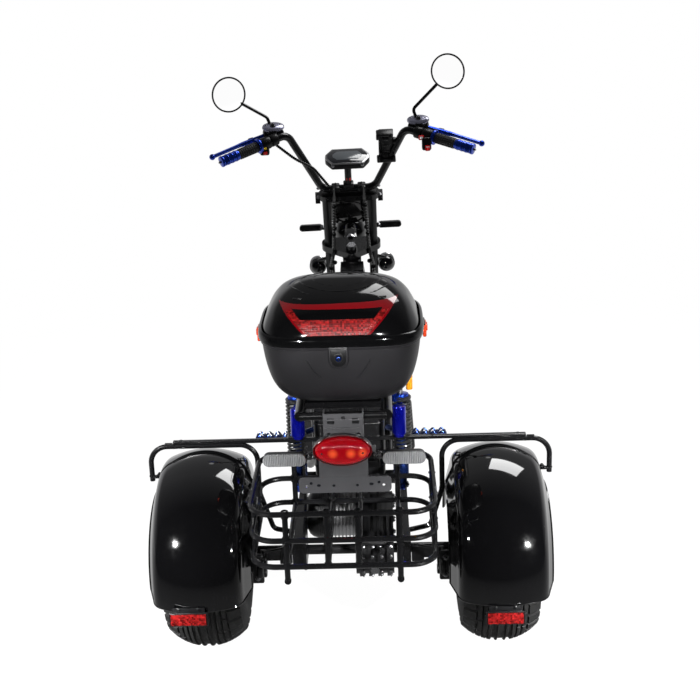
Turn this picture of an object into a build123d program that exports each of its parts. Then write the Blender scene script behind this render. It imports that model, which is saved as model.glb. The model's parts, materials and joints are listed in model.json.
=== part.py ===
from build123d import *
import math
import os

os.makedirs("parts", exist_ok=True)

# Driving dimensions in millimetres. X is across, Y is forward, Z is up.
# While the parts are laid out the rear axle is at Y = 0; the whole is centred when it is written.
rear_wheel_radius = 223
rear_tyre_half = 94
rear_tread_radius = 120
rear_wheel_x = 346
rear_rim_radius = 103
front_wheel_radius = 217
front_tyre_half = 41
front_tread_radius = 52
front_rim_radius = 152
tube_gap = 0.3

# Steering: the axis passes through the head point and leans back by the rake
rake = 26
head_y = 930
head_z = 830
rest_steer = 2
fork_offset = 35
leg_x = 67
leg_radius = 13
slider_radius = 17
top_bridge_z = 58
upper_clamp_z = -133
lower_clamp_z = -286
bar_clamp_z = 81
bar_radius = 11
grip_radius = 16

# Rear end
shaft_radius = 12
carrier_x = 108
carrier_top = 482
shock_x = 124
shock_foot_y = 88
shock_foot_z = 350
shock_length = 272
shock_lean = 5
fender_clearance = 24
fender_wall = 4
fender_half = 118
fender_lip = 156
fender_front_deg = 78
fender_rear_deg = 95
hoop_radius = 6
hoop_y = 60
hoop_bend = 42
hoop_outer_x = 480
hoop_inner_x = 222
rack_half = 423
basket_tube = 6.5
basket_half = 203
basket_x = -10
basket_rear_y = -283
basket_front_y = 46
basket_top = 454
basket_step = 63
basket_corner = 55

# Trunk
trunk_rear_y = -300
trunk_depth = 300
trunk_width = 336
trunk_bottom = 694
trunk_seam = 843
trunk_top = 940
trunk_wall = 4
trunk_corner = 82
lid_fall = 8
plate_z = 527

# Seat and body
seat_rail_x = 92
seat_rail_radius = 12
seat_top = 752
deck_z = 284

# How far down the steering axis the front axle lies when its tyre stands on the ground
rake_sin, rake_cos = math.sin(math.radians(rake)), math.cos(math.radians(rake))
axle_drop = (head_z + fork_offset * rake_sin - front_wheel_radius) / rake_cos
low_end = (Align.CENTER, Align.CENTER, Align.MIN)


def tube(points, radius, bend=None):
    """A round bar along straight runs joined by tangent arcs."""
    path = Polyline(*points) if bend is None else FilletPolyline(*points, radius=bend)
    return sweep(Plane(origin=path @ 0, z_dir=path % 0) * Circle(radius), path=path)


def rod(start, end, radius):
    """A straight round bar between two points."""
    span = Vector(*end) - Vector(*start)
    return Plane(origin=start, z_dir=span) * Cylinder(radius, span.length, align=low_end)


def block(low, high):
    """A box between two corners."""
    size = [high[i] - low[i] for i in range(3)]
    return Pos(*low) * Box(*size, align=(Align.MIN, Align.MIN, Align.MIN))


def drum(x_low, x_high, radius, y=0, z=0):
    """A cylinder along X."""
    return Pos(x_low, y, z) * Rot(0, 90, 0) * Cylinder(radius, x_high - x_low, align=low_end)


def both(shape):
    """The shape and its mirror image across the middle of the scooter."""
    return shape + mirror(shape, about=Plane.YZ)


def joined(pieces):
    """All of the pieces as one shape."""
    whole = pieces[0]
    for piece in pieces[1:]:
        whole += piece
    return whole


def steered(shape):
    """From the straight steering frame, with its axis along Z, to its place on the scooter."""
    return Pos(0, head_y, head_z) * Rot(rake, 0, 0) * Rot(0, 0, rest_steer) * shape


def steer_turn(shape):
    """A shape laid out on the scooter with the bars straight, turned to the rest angle."""
    return steered(Rot(-rake, 0, 0) * Pos(0, -head_y, -head_z) * shape)


# Wheels

def tyre_section(half, top, bead, bead_half, crown):
    """A tyre's outline in straight runs, from bead to bead over the round crown; Y is the radius."""
    tread = [half * share for share in (0.88, 0.62, 0.3)]
    crown_points = [(x, top - crown + math.sqrt(crown**2 - x**2)) for x in tread]
    side_z = bead + (crown_points[0][1] - bead) * 0.55
    right = [(bead_half, bead), (bead_half, bead + 12), (half, side_z)] + crown_points
    left = [(-x, radius) for x, radius in reversed(right)]
    return Polygon(*right, (0, top), *left, align=None)


def wheel_solid(face):
    """A section in the XY plane, with Y as radius, turned about the wheel's axle."""
    return revolve(face, axis=Axis.X)


def rear_tyre():
    section = tyre_section(rear_tyre_half, rear_wheel_radius, rear_rim_radius, 80, rear_tread_radius)
    return wheel_solid(section)


def rear_rim():
    """Barrel, flanges, dished web with round windows, hub and inboard brake disc; +X is outboard."""
    barrel = drum(-86, 86, rear_rim_radius) - drum(-87, 87, rear_rim_radius - 6)
    flange = drum(80, 86, rear_rim_radius + 11) - drum(79, 87, rear_rim_radius - 6)
    flanges = flange + mirror(flange, about=Plane.YZ)
    web = drum(28, 38, rear_rim_radius - 5)
    for turn in range(5):
        web -= Rot(turn * 72, 0, 0) * drum(20, 45, 17, z=66)
    hub = drum(-118, 62, 27)
    disc = drum(-119, -115, 80)
    bore = drum(-125, 60, shaft_radius + tube_gap)
    return barrel + flanges + web + hub + disc - bore


def front_tyre():
    section = tyre_section(front_tyre_half, front_wheel_radius, front_rim_radius, 33, front_tread_radius)
    return wheel_solid(section)


def front_rim():
    barrel = drum(-37, 37, front_rim_radius) - drum(-38, 38, front_rim_radius - 5)
    flange = drum(33, 37, front_rim_radius + 10) - drum(32, 38, front_rim_radius - 5)
    flanges = flange + mirror(flange, about=Plane.YZ)
    spokes = drum(-9, 9, 30)
    for turn in range(5):
        spokes += Rot(turn * 72, 0, 0) * block((-8, -15, 20), (8, 15, front_rim_radius - 4))
    hub = drum(-34, 34, 26)
    disc = drum(-34, -30, 90) - drum(-35, -29, 62)
    carrier = drum(-34, -30, 68)
    return barrel + flanges + spokes + hub + disc + carrier - drum(-40, 40, 8 + tube_gap)


# Rear axle, drive and springs

def axle_housing():
    """Side plates that carry the axle, the shock feet and the rack bar, with the shafts through them."""
    corners = ((-42, 190), (40, 190), (40, 300), (100, 338), (100, 362), (74, 362), (70, carrier_top),
               (54, carrier_top), (54, 314), (-42, 290))
    plate_outline = Polygon(*corners, align=None)
    plate = Pos(carrier_x, 0, 0) * extrude(Plane.YZ * plate_outline, 6)
    bearing = block((carrier_x + 6, -35, 188), (carrier_x + 34, 35, 258))
    shaft = drum(carrier_x - 6, rear_wheel_x + 56, shaft_radius, z=rear_wheel_radius)
    pin = drum(carrier_x + 6, shock_x + 12, 6, y=shock_foot_y, z=shock_foot_z)
    side = plate + bearing + shaft + pin
    return both(side)


def gearbox_side(axle_radius, motor_radius):
    """The case's side outline: round about the axle's gear and the motor's shaft."""
    around_axle = Pos(0, rear_wheel_radius) * Circle(axle_radius)
    around_motor = Pos(112, 255) * Circle(motor_radius)
    return Plane.YZ * make_hull(around_axle.edges() + around_motor.edges())


def gearbox():
    """Reduction case from the motor shaft to the axle, with cooling ribs."""
    x_low, x_high = 10, 101
    case = extrude(gearbox_side(60, 60), x_high - x_low)
    ribs = [extrude(gearbox_side(67, 66), 6) for _ in range(4)]
    body = Pos(x_low, 0, 0) * case
    for step, rib in enumerate(ribs):
        body += Pos(x_low + 8 + step * 22, 0, 0) * rib
    cross_shaft = drum(-(carrier_x - 6), carrier_x - 6, shaft_radius, z=rear_wheel_radius)
    return body + cross_shaft


def motor():
    """Finned barrel with a domed end cap on the left."""
    barrel = drum(-55, 10, 58, y=118, z=262)
    for step in range(6):
        barrel += drum(-50 + step * 9, -46 + step * 9, 61, y=118, z=262)
    cap = drum(-112, -55, 60, y=118, z=262)
    rim = cap.edges().filter_by(GeomType.CIRCLE).sort_by(Axis.X)[0]
    return barrel + fillet(rim, 22)


def swingarm():
    """Two box arms from the axle bearings forward to the pivot tube, joined by a cross tube."""
    arm = block((carrier_x + 12, 35, 210), (carrier_x + 32, 312, 252))
    pivot = drum(-(carrier_x + 32), carrier_x + 32, 18, y=330, z=262)
    eye = drum(carrier_x + 12, carrier_x + 32, 26, y=318, z=252)
    return both(arm + eye) + pivot


def shock_line(reach):
    """A point on the shock's axis, this far above its lower eye."""
    lean = math.radians(shock_lean)
    return (shock_x, shock_foot_y + reach * math.sin(lean), shock_foot_z + reach * math.cos(lean))


def shock_bodies():
    """Lower eye, damper body, top cap and the reservoir that stands behind the spring."""
    foot = drum(shock_x - 9, shock_x + 9, 13, y=shock_foot_y, z=shock_foot_z)
    eye = foot - drum(shock_x - 10, shock_x + 10, 6, y=shock_foot_y, z=shock_foot_z)
    lower = rod(shock_line(11), shock_line(62), 14)
    lower -= drum(shock_x - 20, shock_x + 20, 6, y=shock_foot_y, z=shock_foot_z)
    core = rod(shock_line(50), shock_line(240), 9)
    cap = rod(shock_line(222), shock_line(246), 20)
    top = shock_line(shock_length)
    top_eye = drum(shock_x - 9, shock_x + 9, 13, y=top[1], z=top[2]) + rod(shock_line(240), top, 8)
    top_eye -= drum(shock_x - 10, shock_x + 10, 6, y=top[1], z=top[2])
    back = -44
    can = Pos(0, back, 0) * rod(shock_line(146), shock_line(218), 17)
    _, bridge_y, bridge_z = shock_line(204)
    bridge = block((shock_x - 9, bridge_y + back, bridge_z - 6), (shock_x + 9, bridge_y, bridge_z + 8))
    return both(eye + lower + core + cap + top_eye + can + bridge)


def shock_springs():
    """Each spring as a closed sleeve with a coil's ridges."""
    outer, wire, pitch = 23, 8, 15
    low, count = 66, 10
    inner = outer - wire
    ridges = [(inner, 0)]
    for turn in range(count):
        z = turn * pitch
        ridges += [(outer - wire / 2, z), (outer, z + pitch * 0.27), (outer, z + pitch * 0.73)]
    ridges += [(outer - wire / 2, pitch * count), (inner, pitch * count)]
    sleeve = revolve(Plane.XZ * Polygon(*ridges, align=None), axis=Axis.Z)
    place = Plane(origin=shock_line(low), z_dir=Vector(*shock_line(low + 10)) - Vector(*shock_line(low)))
    spring = place * sleeve
    bridge_at = shock_line(204)
    gap = block((shock_x - 10, bridge_at[1] - 46, bridge_at[2] - 7),
                (shock_x + 10, bridge_at[1], bridge_at[2] + 9))
    return both(spring - gap)


# Rack, fenders and basket

def rack_bar():
    """The long flat bar across the hoops, resting on the axle plates."""
    return block((-rack_half, hoop_y - 6, carrier_top), (rack_half, hoop_y + 6, carrier_top + 8))


def fender_hoops():
    """A bent tube over each fender, from the fender's outer side to the swingarm."""
    outer_x, inner_x = hoop_outer_x, hoop_inner_x
    top = carrier_top - hoop_radius
    points = [
        (outer_x, hoop_y, 388),
        (outer_x, hoop_y, top),
        (inner_x, hoop_y, top),
        (inner_x, hoop_y, 350),
        (carrier_x + 84, hoop_y, 252),
        (carrier_x + 32, hoop_y, 240),
    ]
    hoop = tube(points, hoop_radius, [hoop_bend, hoop_bend, 60, 18])
    tab = block((rear_wheel_x + 102, hoop_y - 9, 404), (outer_x, hoop_y + 9, 424))
    return both(hoop + tab)


def fender_section(half, top, crown_half, crown_drop, shoulder, lip):
    """Outline from the crown over the shoulder to the lip, with its mirror image; Y is the radius."""
    shoulder_x, shoulder_drop = shoulder
    side = [
        ThreePointArc((-crown_half, top - crown_drop), (0, top), (crown_half, top - crown_drop)),
        ThreePointArc((crown_half, top - crown_drop),
                      ((crown_half + shoulder_x) / 2 + 4, top - (crown_drop + shoulder_drop) / 2 + 3),
                      (shoulder_x, top - shoulder_drop)),
        Line((shoulder_x, top - shoulder_drop), (half, lip)),
        Line((half, lip), (-half, lip)),
        Line((-half, lip), (-shoulder_x, top - shoulder_drop)),
        ThreePointArc((-shoulder_x, top - shoulder_drop),
                      (-(crown_half + shoulder_x) / 2 - 4, top - (crown_drop + shoulder_drop) / 2 + 3),
                      (-crown_half, top - crown_drop)),
    ]
    return make_face(side)


def fender(side):
    """A crowned half-round shell over one rear wheel."""
    inner_top = rear_wheel_radius + fender_clearance
    outer = fender_section(fender_half, inner_top + fender_wall, 80, 16, (103, 44), fender_lip)
    inner = fender_section(fender_half - fender_wall, inner_top, 77, 15, (98, 42), fender_lip - 2)
    shell = Rot(90 - fender_front_deg, 0, 0) * revolve(outer - inner, axis=Axis.X,
                                                       revolution_arc=fender_front_deg + fender_rear_deg)
    return Pos(side * rear_wheel_x, 0, rear_wheel_radius) * shell


def fender_reflectors():
    """A red reflector on a small bracket below each fender's rear edge."""
    y = -(rear_wheel_radius + fender_clearance + fender_wall) + 3
    bracket = block((rear_wheel_x - 28, y - 6, 170), (rear_wheel_x + 46, y, 214))
    lens = block((rear_wheel_x - 32, y - 14, 168), (rear_wheel_x + 50, y - 6, 194))
    return both(bracket + lens)


def basket_ring(z):
    wide, deep = 2 * basket_half, basket_front_y - basket_rear_y
    middle = (basket_front_y + basket_rear_y) / 2
    path = Pos(0, middle, z) * RectangleRounded(wide, deep, basket_corner).wire()
    start = path @ 0
    return sweep(Plane(origin=start, z_dir=path % 0) * Circle(basket_tube), path=path)


def basket_whole():
    """Three rings, uprights and floor bars, all round tube."""
    levels = [basket_top - basket_step * step for step in range(3)]
    whole = basket_ring(levels[0])
    for z in levels[1:]:
        whole += basket_ring(z)
    rear_y, front_y, floor_z = basket_rear_y, basket_front_y, levels[-1]
    for x, foot in ((-124, 40), (-34, 0), (34, 0), (124, 40)):
        whole += rod((x, rear_y, floor_z - foot), (x, rear_y, basket_top), basket_tube)
        whole += rod((x, front_y, floor_z), (x, front_y, basket_top), basket_tube)
        whole += rod((x, rear_y, floor_z), (x, front_y, floor_z), basket_tube)
    for y in (rear_y + 110, rear_y + 220):
        for side in (-1, 1):
            whole += rod((side * basket_half, y, floor_z), (side * basket_half, y, basket_top), basket_tube)
    return whole


def basket_walls():
    """The basket cut where its walls meet, so that its inside stays open."""
    whole = Pos(basket_x, 0, 0) * basket_whole()
    reach, low, high = basket_half + 20, 200, 600
    rear_cut, front_cut = basket_rear_y + basket_corner, basket_front_y - basket_corner
    side_cut, floor_cut = basket_half - 34, basket_top - 2 * basket_step + basket_tube + 1
    middle = block((-side_cut, rear_cut, low), (side_cut, front_cut, floor_cut))
    return {
        "basket_rear": whole & block((-reach, basket_rear_y - 20, low), (reach, rear_cut, high)),
        "basket_front": whole & block((-reach, front_cut, low), (reach, basket_front_y + 20, high)),
        "basket_left": whole & block((-reach, rear_cut, low), (-side_cut, front_cut, high)),
        "basket_right": whole & block((side_cut, rear_cut, low), (reach, front_cut, high)),
        "basket_floor": whole & middle,
    }


# Lamps and plate

def tail_bracket():
    """Sheet column from the trunk carrier down to the plate holder."""
    column = block((-40, -284, 560), (40, -281, 672))
    stem = block((-52, -300, plate_z + 12), (52, -297, 600))
    link = block((-40, -300, 597), (40, -281, 600))
    holder = Pos(0, -297, plate_z + 2) * Rot(90, 0, 0) * extrude(RectangleRounded(197, 36, 10), 3)
    for x in (-82, -48, -24, 24, 48, 82):
        holder -= Pos(x, -298, plate_z) * Rot(90, 0, 0) * Cylinder(3, 12)
    top = block((-40, -284, 669), (40, -240, 672))
    return column + stem + link + holder + top


def tail_light():
    """Oval red lens on its base."""
    lens = Pos(0, -300, 613) * Rot(90, 0, 0) * extrude(Ellipse(60, 32), 24, taper=22)
    base = Pos(0, -284, 613) * Rot(90, 0, 0) * extrude(Ellipse(61, 33), 16)
    return base + lens


def rear_signals():
    """Slim lamp bars each side of the tail light, on a short arm."""
    lamp = Pos(126, -286, 592) * Rot(90, 0, 0) * extrude(SlotOverall(92, 28), 24)
    arm = rod((42, -290, 592), (82, -290, 592), 5)
    return both(lamp + arm)


# Trunk

def trunk_shape(z_low, z_high, width, depth, corner, taper, edge, shrink=0):
    """A round-cornered case body that narrows along its height, with its far edge rounded."""
    middle = trunk_rear_y + trunk_depth / 2
    outline = RectangleRounded(width - 2 * shrink, depth - 2 * shrink, corner - shrink)
    solid = Pos(0, middle, z_low) * extrude(outline, z_high - z_low, taper=taper)
    far = solid.faces().sort_by(Axis.Z)[-1]
    return fillet(far.edges(), edge)


def trunk_base_shape(shrink):
    height = trunk_seam - trunk_bottom - shrink
    flat = trunk_shape(0, height, trunk_width, trunk_depth, trunk_corner, 10, 46, shrink)
    return Pos(0, 0, trunk_seam) * mirror(flat, about=Plane.XY)


def trunk_base():
    shell = trunk_base_shape(0) - trunk_base_shape(trunk_wall)
    belt_outline = RectangleRounded(trunk_width + 8, trunk_depth + 8, trunk_corner + 4)
    inside = RectangleRounded(trunk_width - 8, trunk_depth - 8, trunk_corner - 4)
    middle = trunk_rear_y + trunk_depth / 2
    belt = Pos(0, middle, trunk_seam - 12) * extrude(belt_outline - inside, 12)
    lock = block((-20, trunk_rear_y - 7, trunk_seam - 50), (20, trunk_rear_y + 4, trunk_seam - 2))
    return shell + belt + lock - trunk_base_shape(trunk_wall)


def lid_shape(shrink):
    """The lid's outline with its top falling towards the seat."""
    middle = trunk_rear_y + trunk_depth / 2
    outline = RectangleRounded(trunk_width - 2 * shrink, trunk_depth - 2 * shrink, trunk_corner - shrink)
    solid = Pos(0, middle, trunk_seam + 1) * extrude(outline, 140, taper=11)
    cutter = Rot(-lid_fall, 0, 0) * Box(600, 900, 300, align=low_end)
    solid -= Pos(0, trunk_rear_y + 60, trunk_top - shrink) * cutter
    far = solid.faces().sort_by(Axis.Z)[-1]
    return fillet(far.edges(), 30 - shrink)


def trunk_lid():
    return lid_shape(0) - lid_shape(trunk_wall)


def reflector_window():
    """The wedge that the red panel fills, seen from behind."""
    top, bottom = trunk_seam + 78, trunk_seam + 10
    outline = Polygon((-128, top), (128, top), (72, bottom), (-72, bottom), align=None)
    return Pos(0, trunk_rear_y + 70, 0) * extrude(Plane.XZ * outline, 120, dir=(0, -1, 0))


def lid_reflector():
    """The red panel, standing a little proud of the lid's rear."""
    return (lid_shape(-3) - lid_shape(0)) & reflector_window()


def trunk_latches():
    latch = block((trunk_width / 2 + 4, trunk_rear_y + 130, trunk_seam - 34),
                  (trunk_width / 2 + 14, trunk_rear_y + 168, trunk_seam - 3))
    return both(latch)


def trunk_carrier():
    """Tube rack under the trunk, with the plate that the trunk is fixed to."""
    plate = block((-80, -240, 684), (80, -70, trunk_bottom))
    bars = [rod((-seat_rail_x + seat_rail_radius, y, 680), (seat_rail_x - seat_rail_radius, y, 680), 6)
            for y in (-225, -90)]
    return plate + bars[0] + bars[1]


# Frame, seat and deck

def head_tube():
    """Hollow head tube with the wide neck behind it."""
    length = upper_clamp_z - lower_clamp_z - 36
    middle = (upper_clamp_z + lower_clamp_z) / 2
    shell = Pos(0, 0, middle) * (Cylinder(28, length) - Cylinder(16.5, length + 10))
    top = Pos(0, 0, middle + length / 2 - 4)
    neck_outline = Polygon((-34, 0), (34, 0), (44, -100), (-44, -100), align=None)
    neck = Pos(0, -20, 0) * top * extrude(Plane.XZ * neck_outline, 40, dir=(0, -1, 0))
    neck -= Pos(0, 0, middle) * Cylinder(28, length + 10)
    return Pos(0, head_y, head_z) * Rot(rake, 0, 0) * (shell + neck)


def frame_backbone():
    """Main tube from the neck down to the deck and back to the pivot."""
    points = [(0, 968, 640), (0, 880, 330), (0, 800, 262), (0, 352, 262)]
    return tube(points, 24, [90, 70])


def frame_rails():
    """Two rails under the deck that rise to carry the seat and the trunk."""
    points = [
        (120, 860, 262),
        (120, 420, 262),
        (seat_rail_x, 330, 330),
        (seat_rail_x, 300, 600),
        (seat_rail_x, 180, 672),
        (seat_rail_x, -262, 672),
    ]
    rail = tube(points, seat_rail_radius, [60, 40, 60, 90])
    cross = [rod((-seat_rail_x, y, 672), (seat_rail_x, y, 672), 9) for y in (-262, 70)]
    deck_cross = [rod((-120, y, 262), (120, y, 262), 10) for y in (850, 440)]
    top = shock_line(shock_length)
    hanger = block((seat_rail_x - 6, top[1] - 16, top[2] - 16), (shock_x - 10, top[1] + 16, 668))
    hanger += drum(shock_x - 12, shock_x + 12, 6, y=top[1], z=top[2])
    return both(rail + hanger) + cross[0] + cross[1] + deck_cross[0] + deck_cross[1]


def footboard():
    plate = Pos(0, 660, deck_z - 10) * extrude(RectangleRounded(330, 420, 40), 10)
    return plate


def battery_case():
    body = block((-74, 96, 372), (74, 280, 652))
    return fillet(body.edges().filter_by(Axis.Z), 18)


def seat_pan():
    return Pos(0, 300, 684) * extrude(RectangleRounded(230, 520, 80), 8)


def seat_cushion():
    pad = Pos(0, 300, 692) * extrude(RectangleRounded(270, 560, 100), seat_top - 692)
    return fillet(pad.faces().sort_by(Axis.Z)[-1].edges(), 24)


def footpegs():
    """Folding pegs with a wavy gripping edge on the rails."""
    peg = Pos(190, 250, 416) * Box(110, 24, 10)
    for x in range(5):
        peg += Pos(148 + x * 21, 250, 424) * Rot(90, 0, 0) * Cylinder(8, 24)
    arm = rod((seat_rail_x, 306, 416), (140, 250, 416), 8)
    return both(peg + arm)


def rear_calipers():
    """Block that straddles each inboard disc, behind the axle."""
    disc_x = rear_wheel_x - 117
    body = block((disc_x - 24, -84, 178), (disc_x + 12, -38, 262))
    body -= block((disc_x - 7, -100, 150), (disc_x + 7, -30, 290))
    bridge = block((disc_x - 24, -92, 178), (disc_x + 12, -86, 262))
    stay = block((carrier_x + 34, -34, 200), (disc_x - 24 + 4, -24, 246))
    foot = block((disc_x - 24, -60, 200), (disc_x - 16, -24, 246))
    return both(body + bridge + stay + foot)


# Steering, built about the steering axis as Z

def clamp_outline(stem_lug):
    """A clamp seen from above: a lug round each leg, and one round the stem where it has one."""
    lugs = ShapeList()
    for x in (-leg_x, leg_x):
        lugs += (Pos(x, fork_offset) * Circle(leg_radius + 9)).edges()
    if stem_lug:
        lugs += Circle(24).edges()
    return make_hull(lugs)


def triple_clamps():
    """Top bridge under the bar, and the two clamps with the stem between them."""
    bridge = Pos(0, 0, top_bridge_z) * extrude(clamp_outline(False), 9, both=True)
    upper = Pos(0, 0, upper_clamp_z) * extrude(clamp_outline(True), 11, both=True)
    lower = Pos(0, 0, lower_clamp_z) * extrude(clamp_outline(True), 13, both=True)
    stem_middle = (upper_clamp_z + lower_clamp_z) / 2 + 12
    stem = Pos(0, 0, stem_middle) * Cylinder(15.9, upper_clamp_z - lower_clamp_z + 24)
    whole = bridge + upper + lower + stem
    for side in (-1, 1):
        whole -= Pos(side * leg_x, fork_offset, 0) * Cylinder(leg_radius, 800)
        whole += Pos(side * (leg_x + leg_radius + 12), fork_offset, top_bridge_z - 8) * Box(14, 22, 26)
    return steered(whole)


def fork_legs():
    """Long tubes with the wider sliders below and the axle through their feet."""
    foot, top = -axle_drop, top_bridge_z + 10
    leg = Pos(leg_x, fork_offset, (foot + top) / 2) * Cylinder(leg_radius, top - foot)
    leg += Pos(leg_x, fork_offset, foot + 180) * Cylinder(slider_radius, 400)
    axle = Pos(0, fork_offset, foot) * Rot(0, 90, 0) * Cylinder(8, 2 * leg_x)
    return steered(both(leg) + axle)


def bar_points():
    """The bar's corners on one side, straight ahead, from its middle to its end."""
    clamp_y = head_y + fork_offset * rake_cos - bar_clamp_z * rake_sin
    clamp_z = head_z + fork_offset * rake_sin + bar_clamp_z * rake_cos
    return [(0, clamp_y, clamp_z), (76, clamp_y, clamp_z), (167, clamp_y - 75, clamp_z + 177),
            (250, clamp_y - 122, clamp_z + 150), (344, clamp_y - 176, clamp_z + 128)]


def bar_at(x):
    """The point of the bar's outer run at this distance from the middle."""
    inner, outer = Vector(*bar_points()[2]), Vector(*bar_points()[4])
    return inner + (outer - inner) * ((x - inner.X) / (outer.X - inner.X))


def handlebar():
    right = bar_points()
    right = [right[1], right[2], right[4]]
    left = [(-x, y, z) for x, y, z in reversed(right)]
    return steer_turn(tube(left + right, bar_radius, [32, 34, 34, 32]))


def grips():
    sleeve = rod(bar_at(248), bar_at(348), grip_radius) - rod(bar_at(240), bar_at(344), bar_radius)
    flange = rod(bar_at(243), bar_at(249), 22) - rod(bar_at(235), bar_at(260), bar_radius)
    return steer_turn(both(sleeve + flange))


def brake_levers():
    root, tip = bar_at(222) + Vector(0, 40, 14), bar_at(376) + Vector(0, 52, 16)
    middle = bar_at(300) + Vector(0, 58, 16)
    blade = tube([root, middle, tip], 6, 60)
    return steer_turn(both(blade + Pos(*tip) * Sphere(9)))


def master_cylinders():
    """Clamp on the bar with the lever's pivot block and the reservoir above it."""
    at = bar_at(206)
    clamp = rod(bar_at(196), bar_at(214), 17) - rod(bar_at(180), bar_at(240), bar_radius)
    body = Pos(at.X, at.Y + 34, at.Z + 14) * Box(62, 34, 24)
    neck = block((at.X - 12, at.Y + 12, at.Z + 4), (at.X + 12, at.Y + 20, at.Z + 24))
    cup = Pos(at.X, at.Y + 32, at.Z + 26) * extrude(Ellipse(32, 20), 14)
    return steer_turn(both(clamp + body + neck + cup))


def switchgear():
    at = bar_at(238)
    shell = rod(bar_at(217), bar_at(241), 18)
    pod = Pos(at.X - 10, at.Y - 12, at.Z - 6) * Box(24, 26, 34)
    return steer_turn(both(shell + pod - rod(bar_at(200), bar_at(260), bar_radius)))


mirror_columns = ("side", "elbow_x", "elbow_z", "neck_x", "neck_z", "centre_x", "centre_z")
mirror_table = (
    (-1, 221, 1144, 290, 1186, 325, 1214),
    (1, 192, 1146, 262, 1212, 294, 1248),
)
mirror_radius = 49
mirror_y = 856


def mirror_arms():
    """Bent stems and the round shells that hold the glass."""
    pieces = []
    for side, elbow_x, elbow_z, neck_x, neck_z, centre_x, centre_z in mirror_table:
        base = bar_at(206) + Vector(0, 22, 22)
        points = [
            (side * base.X, base.Y, base.Z),
            (side * elbow_x, mirror_y + 8, elbow_z),
            (side * neck_x, mirror_y + 12, neck_z),
            (side * centre_x, mirror_y + 10, centre_z),
        ]
        stem = tube(points, 4.5, [14, 50])
        face = Pos(side * centre_x, mirror_y, centre_z) * Rot(90, 0, 0)
        shell = face * Cylinder(mirror_radius, 14)
        hollow = face * Pos(0, 0, 7) * Cylinder(mirror_radius - 3, 8)
        pieces.append(stem + shell - hollow)
    return steer_turn(joined(pieces))


def mirror_glass():
    pieces = [Pos(side * cx, mirror_y - 4.8, cz) * Rot(90, 0, 0) * Cylinder(mirror_radius - 3.2, 3)
              for side, _, _, _, _, cx, cz in mirror_table]
    return steer_turn(joined(pieces))


def display():
    """Eight-sided instrument on a stalk from the bar."""
    centre = bar_points()[0]
    stalk = rod((0, centre[1] - 2, centre[2] + 10), (0, centre[1] - 32, centre[2] + 82), 12)
    head = extrude(RegularPolygon(66, 8, rotation=22.5), 14, both=True) & Box(140, 92, 60)
    return steer_turn(stalk + Pos(0, centre[1] - 38, centre[2] + 92) * Rot(38, 0, 0) * head)


def phone_holder():
    """Cradle with upper and lower jaws clamped to the right riser."""
    at = Vector(112, 872, 1052)
    back = Pos(at.X, at.Y, at.Z) * Rot(26, 0, 0) * Box(40, 12, 96)
    top_jaw = Pos(at.X - 6, at.Y - 34, at.Z + 44) * Rot(26, 0, 0) * Box(52, 28, 10)
    low_jaw = Pos(at.X, at.Y - 6, at.Z - 42) * Rot(26, 0, 0) * Box(56, 30, 16)
    return steer_turn(back + top_jaw + low_jaw)


def fork_plate():
    """Glossy plate between the legs, under the top bridge."""
    plate = Pos(0, fork_offset - 4, 2) * Box(2 * leg_x - 14, 6, 94)
    return steered(plate)


def front_signals():
    bar = extrude(SlotOverall(74, 24), 11, both=True)
    lamp = Pos(118, fork_offset + 24, -66) * Rot(90 - rake, 0, 0) * bar
    arm = rod((leg_x, fork_offset, -66), (100, fork_offset + 18, -66), 5)
    return steered(both(lamp + arm))


def front_lamps():
    """Round headlight in front of the upper clamp and a small spot lamp outboard of each leg."""
    level = Rot(90 - rake, 0, 0)
    headlight = Pos(0, fork_offset + 110, -150) * level * Cylinder(54, 80)
    bracket = Pos(0, fork_offset + 48, upper_clamp_z) * Box(40, 64, 12)
    spot = Pos(104, fork_offset + 14, -196) * level * Cylinder(25, 52)
    spot_arm = rod((leg_x, fork_offset, -176), (104, fork_offset + 10, -180), 6)
    return steered(headlight + bracket + both(spot + spot_arm))


def front_fender():
    top, lip = front_wheel_radius + 20, front_wheel_radius - 14
    outer = fender_section(50, top, 30, 7, (44, 18), lip)
    inner = fender_section(46.5, top - 3.5, 28, 6, (41, 17), lip - 2)
    shell = Rot(90 - 62 - 90 + 45, 0, 0) * revolve(outer - inner, axis=Axis.X, revolution_arc=118)
    return steered(Pos(0, fork_offset, -axle_drop) * Rot(-rake, 0, 0) * shell)


def front_caliper():
    body = Pos(-32, fork_offset - 78, -axle_drop) * (Box(30, 36, 66) - Box(14, 60, 90))
    bridge = Pos(-32, fork_offset - 98, -axle_drop) * Box(30, 8, 66)
    stay = Pos(-55, fork_offset - 48, -axle_drop) * Box(8, 66, 40)
    link = Pos(-50, fork_offset - 78, -axle_drop) * Box(10, 30, 40)
    return steered(body + bridge + stay + link)



def control_looms():
    """Cable sleeves down behind each leg and the cable behind the left riser."""
    points = [(42, 4, bar_clamp_z + 32), (50, -4, -60), (54, -6, -128), (66, 10, -200), (66, 12, -262)]
    loom = tube(points, 6, [300, 120, 60])
    points = [(-205, 878, 1066), (-150, 846, 1026), (-98, 868, 992), (-58, 888, 935)]
    return steered(both(loom)) + steer_turn(tube(points, 4.5, [40, 60]))


def wheel_at(shape, side):
    placed = shape if side > 0 else mirror(shape, about=Plane.YZ)
    return Pos(side * rear_wheel_x, 0, rear_wheel_radius) * placed


def front_wheel_place(shape):
    return steered(Pos(0, fork_offset, -axle_drop) * shape)


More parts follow.
